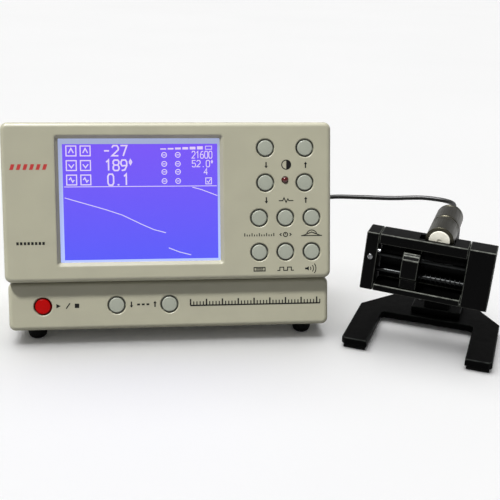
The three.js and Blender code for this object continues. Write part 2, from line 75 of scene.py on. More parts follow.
# ---- driving dimensions, as in the part ----
UNIT = Sizes(width=250, depth=108, belly=-41.5, rear_outer=106, rear_inner=103.5)
BEZEL = Sizes(width=UNIT.width, height=120.8, rim=18, wall=3, corner=5.5, round=3.8)
LOWER = Sizes(width=249, height=38.3, step=8.6, wall=3, corner=5, round=3.8)
SHELL = Sizes(width=248, wall=2.5, split=10, top=119.8, round=3)
SCREEN = Sizes(u=-21.9, v=61.8, width=121.7, height=93.8, bevel=3.6, glass=1.6, module=8)
FIELD = Sizes(left=-80, right=37.3, low=16.5, high=104.6)
BUTTON = Sizes(cap=5.8, hole=6.95, proud=0.5, flange=8.3, lip=1.5, stem=3, reach=8.5)
FOOT = Sizes(radius=7.3, height=9.7)
BARREL = Sizes(radius=10.9, front=31, joint=60.7, rear=90, end=95, bore=4.3)
ROD = Sizes(radius=2, y=32, high=-19, low=-32, left=-50.5, right=37.2)
PIN = Sizes(y=25.5, z=-14)
CABLE_RADIUS = 2.0

KEYS = [
    ("contrast_down", 73.8, 101), ("contrast_up", 104.4, 101),
    ("gain_down", 73.8, 74.4), ("gain_up", 104.4, 74.4),
    ("beat_number", 68.9, 47.4), ("mode", 89.3, 47.4), ("lift_angle", 109.8, 47.4),
    ("print", 68.9, 20.9), ("period", 89.3, 20.9), ("speaker_key", 109.8, 20.9),
]
LOWER_KEYS = [("start_stop", -98.2), ("value_down", -41.9), ("value_up", -1.1)]
LOWER_KEY_HEIGHT = -19.5
LED = Sizes(u=89.1, v=76.5, radius=2.3, hole=2.7)

# ---- where the parts stand ----
JOINTS = {joint["name"]: joint for joint in frame["joints"]}


def basis(origin, x, y, z):
    """The matrix of a frame with these unit axes."""
    matrix = Matrix((x, y, z)).transposed().to_4x4()
    matrix.translation = origin
    return matrix


def at(x, y, z):
    """A move by this much."""
    return Matrix.Translation((x, y, z))


def middle(node):
    low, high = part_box(node)
    return (low + high) / 2


def add_object(name, data):
    obj = bpy.data.objects.new(name, data)
    bpy.context.scene.collection.objects.link(obj)
    return obj


rear_low, rear_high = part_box("rear_panel")
unit_origin = Vector((
    (rear_low.x + rear_high.x) / 2,
    rear_high.y - UNIT.rear_outer * MM,
    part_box("base_tray")[0].z - UNIT.belly * MM,
))
UNIT_AT = Matrix.Translation(unit_origin)
out_of_panel = -Vector(JOINTS["press_mode"]["axis"]).normalized()
across_panel = Vector((1, 0, 0))
PANEL_AT = basis(unit_origin, across_panel, out_of_panel.cross(across_panel), out_of_panel)

REAR_PADS = {"left": (-28.4, 88), "right": (23.6, 88)}
pad_left, pad_right = middle("stand_pad_rear_left"), middle("stand_pad_rear_right")
stand_x = (pad_right - pad_left).normalized()
stand_y = Vector((0, 0, 1)).cross(stand_x)
stand_origin = pad_left - (stand_x * REAR_PADS["left"][0] + stand_y * REAR_PADS["left"][1]) * MM
stand_origin.z = 0
STAND_AT = basis(stand_origin, stand_x, stand_y, Vector((0, 0, 1)))

SWIVEL_POINT = 60
head_y = Vector(JOINTS["head_swivel"]["axis"]).normalized()
head_x = Vector(JOINTS["jaw_slide"]["axis"]).normalized()
head_origin = Vector(JOINTS["head_swivel"]["pos_m"]) - head_y * SWIVEL_POINT * MM
HEAD_AT = basis(head_origin, head_x, head_y, head_x.cross(head_y))

ALONG_Y = Matrix.Rotation(-pi / 2, 4, "X")
ALONG_X = Matrix.Rotation(pi / 2, 4, "Y")

# ---- camera ----
CAMERA = {
    "place": (-66.25, -590.4, 295.2), "yaw": 5.712, "pitch": 21.008, "roll": 1.1716, "lens": 57.6,
}


def add_camera():
    yaw, pitch, roll = (radians(CAMERA[key]) for key in ("yaw", "pitch", "roll"))
    right = Vector((cos(yaw), -sin(yaw), 0))
    forward = Vector((sin(yaw) * cos(pitch), cos(yaw) * cos(pitch), -sin(pitch)))
    up = right.cross(forward)
    rolled_right = right * cos(roll) + up * sin(roll)
    rolled_up = up * cos(roll) - right * sin(roll)
    data = bpy.data.cameras.new("camera")
    data.lens = CAMERA["lens"]
    data.sensor_width = 36
    data.clip_start = 0.01
    camera = add_object("camera", data)
    camera.matrix_world = basis(Vector(CAMERA["place"]) * MM, rolled_right, rolled_up, -forward)
    bpy.context.scene.camera = camera


add_camera()


# ---- materials ----
def linear(color, gain=1.0):
    """A linear colour, from 0-255 values as seen on a screen."""
    def channel(value):
        value /= 255
        low = value / 12.92
        high = ((value + 0.055) / 1.055) ** 2.4
        return min(1.0, gain * (low if value <= 0.04045 else high))
    return tuple(channel(value) for value in color) + (1.0,)


# marks on the rounded edges of the black stand and cradle: painted wear on all of them, and a painted
# highlight on those that face up and to the front
RUB_AND_HIGHLIGHT = "edge_rub_highlight"
NARROW = 0.6
HIGHLIGHT_SIDE = Vector((0, -0.64, 0.77))
LEAST_RUB_HIGHLIGHT = 0.15


class Paint:
    """A material built up step by step, with the slot it goes by. Texture sizes are in metres."""

    has_rub_highlights = False

    def __init__(self, name, slot, color, roughness, metallic=0.0, specular=0.5):
        self.slot = slot
        self.material = bpy.data.materials.new(name)
        self.material.use_nodes = True
        self.nodes = self.material.node_tree.nodes
        self.links = self.material.node_tree.links
        self.shader = self.nodes["Principled BSDF"]
        self.color = linear(color)
        self.set("Base Color", self.color).set("Roughness", roughness)
        self.set("Metallic", metallic).set("Specular IOR Level", specular)
        self.place = self.nodes.new("ShaderNodeTexCoord").outputs["Object"]

    def within(self, matrix):
        """Texture detail follows the axes of this frame."""
        values = {"Location": matrix.translation, "Rotation": matrix.to_euler()}
        mapping = self.add("Mapping", self.place, "Vector", values)
        mapping.vector_type = "TEXTURE"
        self.place = mapping.outputs["Vector"]
        return self

    def set(self, socket, value):
        self.shader.inputs[socket].default_value = value
        return self

    def feed(self, socket, source):
        self.links.new(source, self.shader.inputs[socket])
        return self

    def add(self, kind, source, into, values):
        """A node with these input values that reads the source."""
        node = self.nodes.new("ShaderNode" + kind)
        for socket, value in values.items():
            node.inputs[socket].default_value = value
        self.links.new(source, node.inputs[into])
        return node

    def noise(self, size, detail=3.0, stretch=None):
        """Noise with features about this size, drawn out along an axis by stretch."""
        place = self.place
        if stretch:
            place = self.add("Mapping", place, "Vector", {"Scale": stretch}).outputs["Vector"]
        values = {"Scale": 1 / size, "Detail": detail}
        return self.add("TexNoise", place, "Vector", values).outputs["Fac"]

    def spread(self, source, low, high, start=0.3, end=0.7):
        values = {"From Min": start, "From Max": end, "To Min": low, "To Max": high}
        return self.add("MapRange", source, "Value", values).outputs["Result"]

    def mix(self, factor, first, second):
        node = self.nodes.new("ShaderNodeMix")
        node.data_type = "RGBA"
        self.links.new(factor, node.inputs["Factor"])
        for socket, value in ((6, first), (7, second)):
            if isinstance(value, tuple):
                node.inputs[socket].default_value = value
            else:
                self.links.new(value, node.inputs[socket])
        return node.outputs[2]

    def mottle(self, other, size, start=0.3, end=0.7, stretch=None):
        """The colour drifts towards another one in patches of this size."""
        factor = self.spread(self.noise(size, stretch=stretch), 0, 1, start, end)
        return self.feed("Base Color", self.mix(factor, self.color, linear(other)))

    def uneven_gloss(self, low, high, size, stretch=None):
        return self.feed("Roughness", self.spread(self.noise(size, stretch=stretch), low, high))

    def grain(self, size, height, stretch=None):
        """A fine relief in the surface, this high."""
        values = {"Strength": 1.0, "Distance": height}
        bump = self.add("Bump", self.noise(size, 2.0, stretch), "Height", values)
        return self.feed("Normal", bump.outputs["Normal"])

    def rubbed_highlit_edges(self, color):
        """The narrow faces along rounded edges show a lighter colour, broken up by noise: painted wear, and
        a painted highlight on faces turned up and to the front.
        """
        self.has_rub_highlights = True
        rub_highlight_level = self.nodes.new("ShaderNodeAttribute")
        rub_highlight_level.attribute_name = RUB_AND_HIGHLIGHT
        patches = self.spread(self.noise(0.004), 0.25, 1)
        both = self.add("Math", rub_highlight_level.outputs["Fac"], 0, {})
        both.operation = "MULTIPLY"
        self.links.new(patches, both.inputs[1])
        base = self.shader.inputs["Base Color"].links[0].from_socket
        return self.feed("Base Color", self.mix(both.outputs[0], base, linear(color)))


def moulded(name, slot, color, other, roughness, specular=0.5):
    """Painted or moulded plastic with a fine texture."""
    paint = Paint(name, slot, color, roughness, specular=specular).mottle(other, 0.03)
    return paint.uneven_gloss(roughness - 0.05, roughness + 0.07, 0.006).grain(0.0007, 0.00002)


BEIGE = moulded("beige_paint", "beige", (137, 135, 117), (132, 130, 113), 0.4)
KEY_GREY = moulded("key_grey_plastic", "key_grey", (126, 129, 118), (121, 124, 113), 0.38)
KEY_RED = moulded("key_red_plastic", "key_red", (146, 0, 0), (132, 0, 0), 0.32, 0.1)
BLACK = moulded("black_plastic", "black_plastic", (16, 16, 16), (12, 12, 12), 0.42, 0.3)
STAND_BLACK = moulded("stand_black_plastic", "stand_black", (2, 2, 2), (1, 1, 1), 0.42, 0.03)
# lighter colour on the rounded edges: painted wear and a painted highlight
STAND_BLACK.rubbed_highlit_edges((30, 32, 30))
CRADLE_BLACK = moulded("cradle_black_paint", "cradle_black", (2, 2, 2), (1, 1, 1), 0.36, 0.05)
# lighter colour on the rounded edges: painted wear and a painted highlight
CRADLE_BLACK.rubbed_highlit_edges((88, 90, 84))
RUBBER = Paint("black_rubber", "black_rubber", (5, 5, 5), 0.55, specular=0.08).mottle((9, 9, 8), 0.004)
RUBBER.grain(0.0005, 0.00003)
CORD_RUBBER = Paint("cord_rubber", "cable_rubber", (9, 9, 9), 0.4, specular=0.35)
CORD_RUBBER.mottle((15, 15, 14), 0.008)
CORD_RUBBER.grain(0.0006, 0.00002)
NYLON = Paint("white_nylon", "white_nylon", (206, 203, 190), 0.45)
NYLON.mottle((192, 189, 175), 0.006).grain(0.0005, 0.00001)
INK = Paint("panel_ink", "black_plastic", (9, 9, 9), 0.5, specular=0.15)
INK.mottle((20, 20, 18), 0.002).grain(0.0003, 0.000004)
RED_INK = Paint("red_ink", "key_red", (150, 30, 28), 0.45)
RED_INK.mottle((136, 26, 25), 0.002).grain(0.0003, 0.000004)
BOARD = Paint("circuit_board", "circuit_board", (20, 72, 40), 0.4)
BOARD.mottle((15, 56, 32), 0.003).grain(0.001, 0.00003)
AROUND = (1, 0.05, 1)
ALLOY = Paint("brushed_alloy", "barrel_alloy", (64, 62, 52), 0.36, 1.0).within(HEAD_AT)
ALLOY.mottle((55, 53, 45), 0.003, stretch=AROUND).uneven_gloss(0.32, 0.46, 0.0012, stretch=AROUND)
ALLOY.grain(0.0006, 0.000006, stretch=AROUND)
# steel with a dark colour, used for the guide rods and the spring
DARK_STEEL = Paint("dark_rod_steel", "polished_steel", (44, 45, 45), 0.34, 1.0)
DARK_STEEL.mottle((34, 35, 35), 0.004)
DARK_STEEL.uneven_gloss(0.28, 0.42, 0.002).grain(0.0008, 0.000004)
STEEL = Paint("polished_steel", "polished_steel", (150, 151, 152), 0.24, 1.0)
STEEL.mottle((128, 129, 131), 0.004)
STEEL.uneven_gloss(0.18, 0.34, 0.002).grain(0.0008, 0.000004)
METAL = Paint("bright_metal", "bright_metal", (168, 168, 168), 0.3, 1.0).mottle((138, 139, 141), 0.002)
METAL.uneven_gloss(0.24, 0.38, 0.0015).grain(0.0006, 0.000006)
LED_RED = Paint("led_red", "led_red", (70, 5, 5), 0.12).mottle((52, 3, 3), 0.001).grain(0.001, 0.000002)
LED_RED.set("Coat Weight", 0.4)
GLASS = Paint("screen_glass", "screen_glass", (16, 18, 26), 0.06, specular=0.3)
GLASS.uneven_gloss(0.04, 0.1, 0.02)
GLASS.set("Alpha", 0.08).grain(0.02, 0.000002)


def lit_panel(name, color, top, bottom, strength):
    """A lit screen layer whose light changes from its lower to its upper edge."""
    paint = Paint(name, "lcd_panel", color, 0.25, specular=0.2).within(PANEL_AT)
    split = paint.nodes.new("ShaderNodeSeparateXYZ")
    paint.links.new(paint.place, split.inputs[0])
    level = paint.spread(split.outputs["Y"], 0, 1, FIELD.low * MM, FIELD.high * MM)
    cloudy = paint.spread(paint.noise(0.02), 0.94, 1.0)
    light = paint.mix(level, linear(bottom), linear(top))
    dark = paint.mix(cloudy, tuple(0.85 * c for c in linear(bottom)[:3]) + (1.0,), light)
    return paint.feed("Emission Color", dark).set("Emission Strength", strength)


LCD_FIELD = lit_panel("lcd_field", (6, 5, 16), (126, 90, 252), (94, 95, 255), 1.12)
# the lit border's upper edge is duller and greyer than its lower edge: painted shade under the bezel's
# upper rim
LCD_EDGE = lit_panel("lcd_backlight", (60, 66, 90), (160, 170, 202), (176, 192, 252), 1.2)
LCD_MARK = lit_panel("lcd_marks", (60, 56, 70), (233, 214, 255), (222, 222, 255), 1.04)


# ---- mesh helpers ----
def bridge(bm, first, second):
    """Faces between two rings of vertices, one of which may be a single point."""
    if len(first) == 1 and len(second) == 1:
        return
    count = max(len(first), len(second))
    for i in range(count):
        j = (i + 1) % count
        corners = [first[i % len(first)], first[j % len(first)], second[j % len(second)],
            second[i % len(second)]]
        bm.faces.new(list(dict.fromkeys(corners)))


def move(bm, matrix):
    bmesh.ops.transform(bm, matrix=matrix, verts=bm.verts)
    return bm


def face_out(bm):
    bmesh.ops.recalc_face_normals(bm, faces=bm.faces)
    return bm


def skin(bm, rings, ends=True):
    """Faces along a row of rings, and over its two ends."""
    for first, second in zip(rings, rings[1:]):
        bridge(bm, first, second)
    if ends:
        bm.faces.new(rings[0])
        bm.faces.new(rings[-1])


def lathe(profile, segments=56, place=None):
    """A turned piece about Z, from (radius, z) points. A profile that ends where it starts is a ring."""
    bm = bmesh.new()
    hollow = profile[0] == profile[-1]
    rings = []
    for radius, z in profile[:-1] if hollow else profile:
        if radius == 0:
            rings.append([bm.verts.new((0, 0, z))])
            continue
        angles = [2 * pi * i / segments for i in range(segments)]
        rings.append([bm.verts.new((radius * cos(a), radius * sin(a), z)) for a in angles])
    skin(bm, rings + rings[:1] if hollow else rings, False)
    face_out(bm)
    return move(bm, place) if place else bm


def drum(radius, start, end, segments, place):
    """A plain turned cylinder."""
    return lathe([(0, start), (radius, start), (radius, end), (0, end)], segments, place)


def arc(center, radius, start, end, steps=6):
    """Points of an arc, by angles in degrees."""
    angles = [radians(start + (end - start) * i / steps) for i in range(steps + 1)]
    return [(center[0] + radius * cos(a), center[1] + radius * sin(a)) for a in angles]


def rounded_outline(width, height, radius, x=0, y=0, steps=7):
    half_w, half_h = width / 2 - radius, height / 2 - radius
    corners = [(half_w, half_h, 0), (-half_w, half_h, 90), (-half_w, -half_h, 180), (half_w, -half_h, 270)]
    points = []
    for dx, dy, start in corners:
        points += arc((x + dx, y + dy), radius, start, start + 90, steps)
    return points


def loft(layers):
    """A solid through closed outlines, each a list of points and a height."""
    bm = bmesh.new()
    rings = [[bm.verts.new((x, y, z)) for x, y in outline] for outline, z in layers]
    skin(bm, rings)
    return face_out(bm)


FOLD = 0.35


def round_edges(bm, radius, segments=3):
    """Every edge that folds by more than this angle gets rounded."""
    edges = [edge for edge in bm.edges if edge.calc_face_angle(0) > FOLD]
    if edges and radius:
        bmesh.ops.bevel(bm, geom=edges, offset=radius, segments=segments, profile=0.5, affect="EDGES",
            clamp_overlap=True)
    return bm


def block(xs, ys, zs, radius=0.0, segments=3):
    (x0, x1), (y0, y1), (z0, z1) = xs, ys, zs
    corners = [(x0, y0), (x1, y0), (x1, y1), (x0, y1)]
    return round_edges(loft([(corners, z0), (corners, z1)]), radius, segments)


def prism_x(outline, x0, x1, radius=0.0, segments=3):
    """A (y, z) outline drawn out along X."""
    turn = Matrix(((0, 0, 1, 0), (1, 0, 0, 0), (0, 1, 0, 0), (0, 0, 0, 1)))
    bm = move(loft([(outline, x0), (outline, x1)]), turn)
    return round_edges(face_out(bm), radius, segments)


def together(*parts):
    """Several shapes as one mesh."""
    whole = bmesh.new()
    for part in parts:
        carrier = bpy.data.meshes.new("part")
        part.to_mesh(carrier)
        part.free()
        whole.from_mesh(carrier)
        bpy.data.meshes.remove(carrier)
    return whole


def carve(body, tools, operation="DIFFERENCE"):
    """The body with one tool shape after another taken away, or kept inside it."""
    for tool in tools:
        holders = []
        for bm in (body, tool):
            mesh = bpy.data.meshes.new("carve")
            bm.to_mesh(mesh)
            bm.free()
            holders.append(add_object("carve", mesh))
        modifier = holders[0].modifiers.new("carve", "BOOLEAN")
        modifier.operation = operation
        modifier.solver = "EXACT"
        modifier.object = holders[1]
        bpy.context.view_layer.update()
        result = holders[0].evaluated_get(bpy.context.evaluated_depsgraph_get())
        body = bmesh.new()
        body.from_mesh(result.to_mesh())
        result.to_mesh_clear()
        for holder in holders:
            mesh = holder.data
            bpy.data.objects.remove(holder)
            bpy.data.meshes.remove(mesh)
    return body


def piece(name, bm, place, paint, node=None, body="root", sharp=32):
    """Makes a shape into an object that rides on a body, and may stand for one of its nodes."""
    # narrow faces along rounded edges get painted wear, and a painted highlight that is strongest where
    # they face up and to the front
    if paint.has_rub_highlights:
        marks = bm.faces.layers.float.new(RUB_AND_HIGHLIGHT)
        for face in bm.faces:
            longest = max(edge.calc_length() for edge in face.edges)
            if face.calc_area() < NARROW * longest:
                face[marks] = max(LEAST_RUB_HIGHLIGHT, face.normal.dot(HIGHLIGHT_SIDE)) ** 2
    move(bm, place @ Matrix.Scale(MM, 4))
    mesh = bpy.data.meshes.new(name)
    bm.to_mesh(mesh)
    bm.free()
    mesh.materials.append(paint.material)
    mesh.shade_smooth()
    mesh.set_sharp_from_angle(angle=radians(sharp))
    obj = add_object(name, mesh)
    obj.modifiers.new("normals", "WEIGHTED_NORMAL").keep_sharp = True
    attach(obj, body)
    if node:
        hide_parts(node)
    return obj


def rectangle(u0, u1, v0, v1):
    return [(u0, v0), (u1, v0), (u1, v1), (u0, v1)]


def circle(u, v, radius, steps=28, start=0, end=360):
    """Points round a circle, or along a part of it."""
    return arc((u, v), radius, start, end, steps)[:steps + (end - start < 360)]


class Marks:
    """Thin raised lines and patches, all between the same two levels of the panel."""

    def __init__(self, low, high):
        self.bm = bmesh.new()
        self.low, self.high = low, high

    def vert(self, place, z):
        return self.bm.verts.new((place[0], place[1], z))

    def line(self, path, width, closed=False):
        """A line along a path, with mitred corners."""
        points = [Vector(point) for point in path]
        count = len(points)
        rings = []
        for i, point in enumerate(points):
            into = point - points[i - 1] if i or closed else points[1] - point
            out = points[(i + 1) % count] - point if i < count - 1 or closed else into
            into, out = into.normalized(), out.normalized()
            side = Vector((-(into.y + out.y), into.x + out.x))
            side = side.normalized() if side.length > 1e-6 else Vector((-into.y, into.x))
            reach = side * (width / 2 / max(0.4, side.dot(Vector((-into.y, into.x)))))
            rings.append([self.vert(point + reach, self.high), self.vert(point - reach, self.high),
                self.vert(point - reach, self.low), self.vert(point + reach, self.low)])
        skin(self.bm, rings + rings[:1] if closed else rings, not closed)

    def patch(self, outline):
        skin(self.bm, [[self.vert(place, z) for place in outline] for z in (self.low, self.high)])

    def number(self, text, us, vs, width):
        """Digits spread evenly over a span."""
        pitch = (us[1] - us[0]) / len(text)
        for i, sign in enumerate(text):
            self.line([(us[0] + pitch * (i + 0.1 + 0.74 * x),
                vs[0] + (vs[1] - vs[0]) * y) for x, y in DIGITS[sign]], width)

    def arrow(self, u, v, up):
        """A short arrow, its middle at (u, v)."""
        sign = 1 if up else -1
        self.line([(u, v - 2.3 * sign), (u, v + 0.9 * sign)], 1.0)
        self.patch([(u - 1.35, v + 0.7 * sign), (u + 1.35, v + 0.7 * sign), (u, v + 2.5 * sign)])

    def finish(self, name, paint):
        piece(name, face_out(self.bm), PANEL_AT, paint, sharp=20)


# ---- the cable ----
# the route's points, in tenths of a millimetre, are the part's own; the coil between them is wound here
RUN = [tuple(value / 10000 for value in point) for point in (
    (1669, 335, 857), (1693, 386, 857), (1723, 449, 857), (1753, 524, 857), (1757, 594, 857),
    (1721, 662, 856), (1657, 712, 855), (1547, 776, 850), (1287, 882, 816), (1037, 1002, 790),
    (787, 1132, 754), (545, 1254, 670), (335, 1359, 540), (155, 1446, 370), (25, 1504, 200),
    (-50, 1534, 90), (-100, 1548, 36), (-149, 1552, 22),
)]
TAIL = [tuple(value / 10000 for value in point) for point in (
    (-457, 1552, 189), (-535, 1550, 181), (-615, 1536, 180), (-695, 1508, 200), (-775, 1464, 248),
    (-841, 1404, 316), (-885, 1330, 394), (-903, 1250, 447), (-903, 1178.5, 460),
)]
COIL = Sizes(x=-0.0303, y=0.1332, radius=0.022, low=0.0021, pitch=0.0042, turns=4, steps=16)


def coil_points():
    """Turns that climb on each other, from the rear and round by the left, as seen from above."""
    points = []
    for i in range(COIL.turns * COIL.steps + 1):
        turn = i / COIL.steps
        angle = pi / 2 + 2 * pi * turn
        points.append((COIL.x + COIL.radius * cos(angle), COIL.y + COIL.radius * sin(angle),
            COIL.low + COIL.pitch * turn))
    return points


def smooth_line(points, spacing):
    """Points a fixed spacing apart on a centripetal curve through the given ones."""
    given = [Vector(p) for p in points]
    ends = [2 * given[0] - given[1], *given, 2 * given[-1] - given[-2]]
    line = []
    for a, b, c, d in zip(ends, ends[1:], ends[2:], ends[3:]):
        t0 = 0.0
        t1 = t0 + sqrt((b - a).length)
        t2 = t1 + sqrt((c - b).length)
        t3 = t2 + sqrt((d - c).length)
        steps = max(1, round((c - b).length / spacing))
        for i in range(steps):
            t = t1 + (t2 - t1) * i / steps

            def blend(first, last, start, end):
                return first * ((end - t) / (end - start)) + last * ((t - start) / (end - start))
            ab, bc, cd = blend(a, b, t0, t1), blend(b, c, t1, t2), blend(c, d, t2, t3)
            line.append(blend(blend(ab, bc, t0, t2), blend(bc, cd, t1, t3), t1, t2))
    return line + [given[-1]]


def add_cable():
    line = smooth_line(RUN + coil_points() + TAIL, 0.003)
    curve = bpy.data.curves.new("signal_cable", "CURVE")
    curve.dimensions = "3D"
    curve.bevel_depth = CABLE_RADIUS * MM
    curve.bevel_resolution = 5
    curve.use_fill_caps = True
    spline = curve.splines.new("POLY")
    spline.points.add(len(line) - 1)
    for point, place in zip(spline.points, line):
        point.co = (*place, 1)
    spline.use_smooth = True
    curve.materials.append(CORD_RUBBER.material)
    obj = add_object("signal_cable", curve)
    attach(obj, "root")
    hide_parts("cable_run", "cable_tail", "cable_coil")


# ---- the instrument's shells ----
def plate_layers(width, high, corner, rounding, back, front, v):
    """A plate whose front edge is rounded."""
    layers = [(rounded_outline(width, high, corner, 0, v), back)]
    for inset, rise in arc((0, 0), rounding, 0, 90, 8):
        shrink = rounding - inset
        outline = rounded_outline(width - 2 * shrink, high - 2 * shrink, corner - shrink, 0, v)
        layers.append((outline, front - rounding + rise))
    return layers


def key_hole(u, v, front):
    """A cutter for a key's hole, whose rim flares out to the panel's face."""
    rim, hole = 1.0, BUTTON.hole
    flare = arc((hole + rim, front - rim), rim, 180, 90, 6)
    profile = [(0, front - 6), (hole, front - 6), *flare, (hole + rim, front + 2), (0, front + 2)]
    return lathe(profile, 64, at(u, v, 0))


def screen_opening():
    """A cutter with sloping sides that roll over at the panel's face."""
    bevel, wall, edge = SCREEN.bevel, BEZEL.wall, 0.8

    def layer(spread, w, corner):
        return (rounded_outline(SCREEN.width + 2 * spread, SCREEN.height + 2 * spread, corner, SCREEN.u,
            SCREEN.v, 5), w)
    layers = [layer(0, -wall - 1, 0.8), layer(0, -wall, 0.8)]
    slope = (bevel - edge) / wall
    for step in range(1, 5):
        w = -wall + (wall - edge) * step / 4
        layers.append(layer((w + wall) * slope, w, 0.8 + 0.3 * step))
    start = (wall - edge) * slope
    for step in range(1, 6):
        share = step / 5
        layers.append(layer(start + (bevel - start) * (1 - sqrt(1 - share * share)), -edge + edge * share,
            2.2))
    layers.append(layer(bevel, 2, 2.2))
    return loft(layers)


def add_panel(name, node, dims, low, high, face, holes):
    """A hollow front panel between two heights, with its outer face at this level."""
    plate = plate_layers(dims.width, high - low, dims.corner, dims.round, -BEZEL.rim, face,
        (low + high) / 2)
    inner, wall = dims.width / 2 - dims.wall, dims.wall
    hollow = block((-inner, inner), (low + wall, high - wall), (-BEZEL.rim - 5, face - wall))
    piece(name, carve(loft(plate), [hollow, together(*holes)]), PANEL_AT, BEIGE, node)


def add_front():
    radius = LED.hole
    led = lathe([(0, -5), (radius, -5), (radius, -0.3), (radius + 0.3, 0), (radius + 0.3, 2), (0, 2)], 40,
        at(LED.u, LED.v, 0))
    holes = [screen_opening(), led, *[key_hole(u, v, 0) for _, u, v in KEYS]]
    add_panel("bezel_shell", "front_bezel", BEZEL, 0, BEZEL.height, 0, holes)
    face = -LOWER.step
    holes = [key_hole(u, LOWER_KEY_HEIGHT, face) for _, u in LOWER_KEYS]
    add_panel("lower_panel_shell", "lower_panel", LOWER, -LOWER.height, -GAP, face, holes)


LEAN = atan2(out_of_panel.z, -out_of_panel.y)


def side_view(v, behind):
    """A point of the front's side view, as (y, z)."""
    return (v * sin(LEAN) + behind * cos(LEAN), v * cos(LEAN) - behind * sin(LEAN))


def shell_outline(inset, start, rear):
    low = UNIT.belly + inset
    corner = side_view(SHELL.top - inset, start)
    foot = side_view((low + start * sin(LEAN)) / cos(LEAN), start)
    return [foot, (rear, low), (rear, corner[1] - (rear - corner[0]) * tan(LEAN)), corner]


def screw_head(x, y, z, radius=2.6, high=0.9):
    """A pan head with a cross slot, standing on z."""
    dome = lathe([(0, z), (radius, z), (radius, z + 0.3), *arc((radius - 0.6, z + 0.3), 0.6, 0, 80, 4),
        (0, z + high)], 32)
    arm, half = 1.5, 0.3
    quarter = [(half, half), (half, arm), (-half, arm)]
    cross = [(x, y) for x, y in quarter]
    for _ in range(3):
        quarter = [(-y, x) for x, y in quarter]
        cross += quarter
    slot = loft([(cross, z + 0.4), (cross, z + 2)])
    head = carve(dome, [slot])
    return move(head, at(x, y, 0))


COVER_SCREWS = Sizes(y=(44, 94), z=22)


def add_case():
    start, rear, half = BEZEL.rim + GAP, UNIT.depth, SHELL.width / 2
    far = 200

    def tube():
        outside = prism_x(shell_outline(0, start, rear), -half, half)
        side = [e for e in outside.edges if all(abs(abs(v.co.x) - half) < 0.01 for v in e.verts)]
        long = [e for e in side if abs(e.verts[0].co.y - e.verts[1].co.y) > 60]
        bmesh.ops.bevel(outside, geom=long, offset=SHELL.round, segments=6, profile=0.5, affect="EDGES")
        wall = SHELL.wall
        inside = prism_x(shell_outline(wall, start - 10, rear + 5), -half + wall, half - wall)
        return carve(outside, [inside])
    upper = carve(tube(), [block((-far, far), (-far, far), (SHELL.split + GAP / 2, far))], "INTERSECT")
    lower = carve(tube(), [block((-far, far), (-far, far), (-far, SHELL.split - GAP / 2))], "INTERSECT")
    piece("top_cover_shell", upper, UNIT_AT, BEIGE, "top_cover")
    piece("base_tray_shell", lower, UNIT_AT, BEIGE, "base_tray")
    heads = []
    for side in (-1, 1):
        turn = Matrix.Rotation(side * pi / 2, 4, "Y")
        for y in COVER_SCREWS.y:
            place = at(side * half, y, COVER_SCREWS.z) @ turn
            heads.append(move(screw_head(0, 0, 0, 2.8, 0.8), place))
    piece("cover_screws", together(*heads), UNIT_AT, METAL)


PORTS = {
    "rocker": (95, -6, 13.4, 19.4), "power": (66, -6, 14, 11), "printer": (22, -6, 32, 12),
}
SPEAKER = Sizes(x=60, z=45, half=17, taper=3, pitch=5, high=2)
REAR = Sizes(half=121, screw_x=114, screw_inset=7)
SOCKET = Sizes(x=middle("signal_socket").x / MM - unit_origin.x / MM, z=46 - 51.5, radius=8, proud=3)


def add_rear():
    inner, outer = UNIT.rear_inner, UNIT.rear_outer
    low, high = ((corner.z - unit_origin.z) / MM for corner in (rear_low, rear_high))
    plate = block((-REAR.half, REAR.half), (inner, outer), (low, high), 0.35, 2)
    holes = []
    for key in ("rocker", "power", "printer"):
        x, z, width, tall = PORTS[key]
        holes.append(block((x - width / 2 - GAP, x + width / 2 + GAP), (inner - 1, outer + 1),
            (z - tall / 2 - GAP, z + tall / 2 + GAP)))
    turn = Matrix.Rotation(pi / 2, 4, "X")
    for row in range(-3, 4):
        reach = SPEAKER.half - abs(row) * SPEAKER.taper
        level = SPEAKER.z + row * SPEAKER.pitch
        outline = rounded_outline(2 * reach, SPEAKER.high, SPEAKER.high / 2 - 0.01, 0, 0, 6)
        slot = loft([(outline, -outer - 1), (outline, -inner + 1)])
        holes.append(move(slot, at(SPEAKER.x, 0, level) @ turn))
    jack_at = at(SOCKET.x, 0, SOCKET.z) @ ALONG_Y
    holes.append(drum(SOCKET.radius + GAP, inner - 1, outer + 1, 48, jack_at))
    plate = carve(plate, [together(*holes)])
    piece("rear_panel_plate", plate, UNIT_AT, BEIGE, "rear_panel")
    heads = []
    for x in (-REAR.screw_x, REAR.screw_x):
        for z in (low + REAR.screw_inset, high - REAR.screw_inset):
            place = at(x, outer, z) @ ALONG_Y
            heads.append(move(screw_head(0, 0, 0, 2.8, 1.0), place))
    piece("rear_screws", together(*heads), UNIT_AT, METAL)


# ---- keys, lamp, feet ----
def key_cap():
    """A turned cap with a rounded rim and a barely crowned top."""
    stop = -BEZEL.wall - 2 * GAP
    cap, proud, edge = BUTTON.cap, BUTTON.proud, 0.7
    crown = [(cap * 0.6, proud - 0.06), (cap * 0.3, proud - 0.02), (0, proud)]
    return lathe([(0, -BUTTON.reach), (BUTTON.stem, -BUTTON.reach), (BUTTON.stem, stop - BUTTON.lip),
        (BUTTON.flange, stop - BUTTON.lip), (BUTTON.flange, stop), (cap, stop),
        *arc((cap - edge, proud - edge - 0.12), edge, 0, 86, 7), *crown], 64)


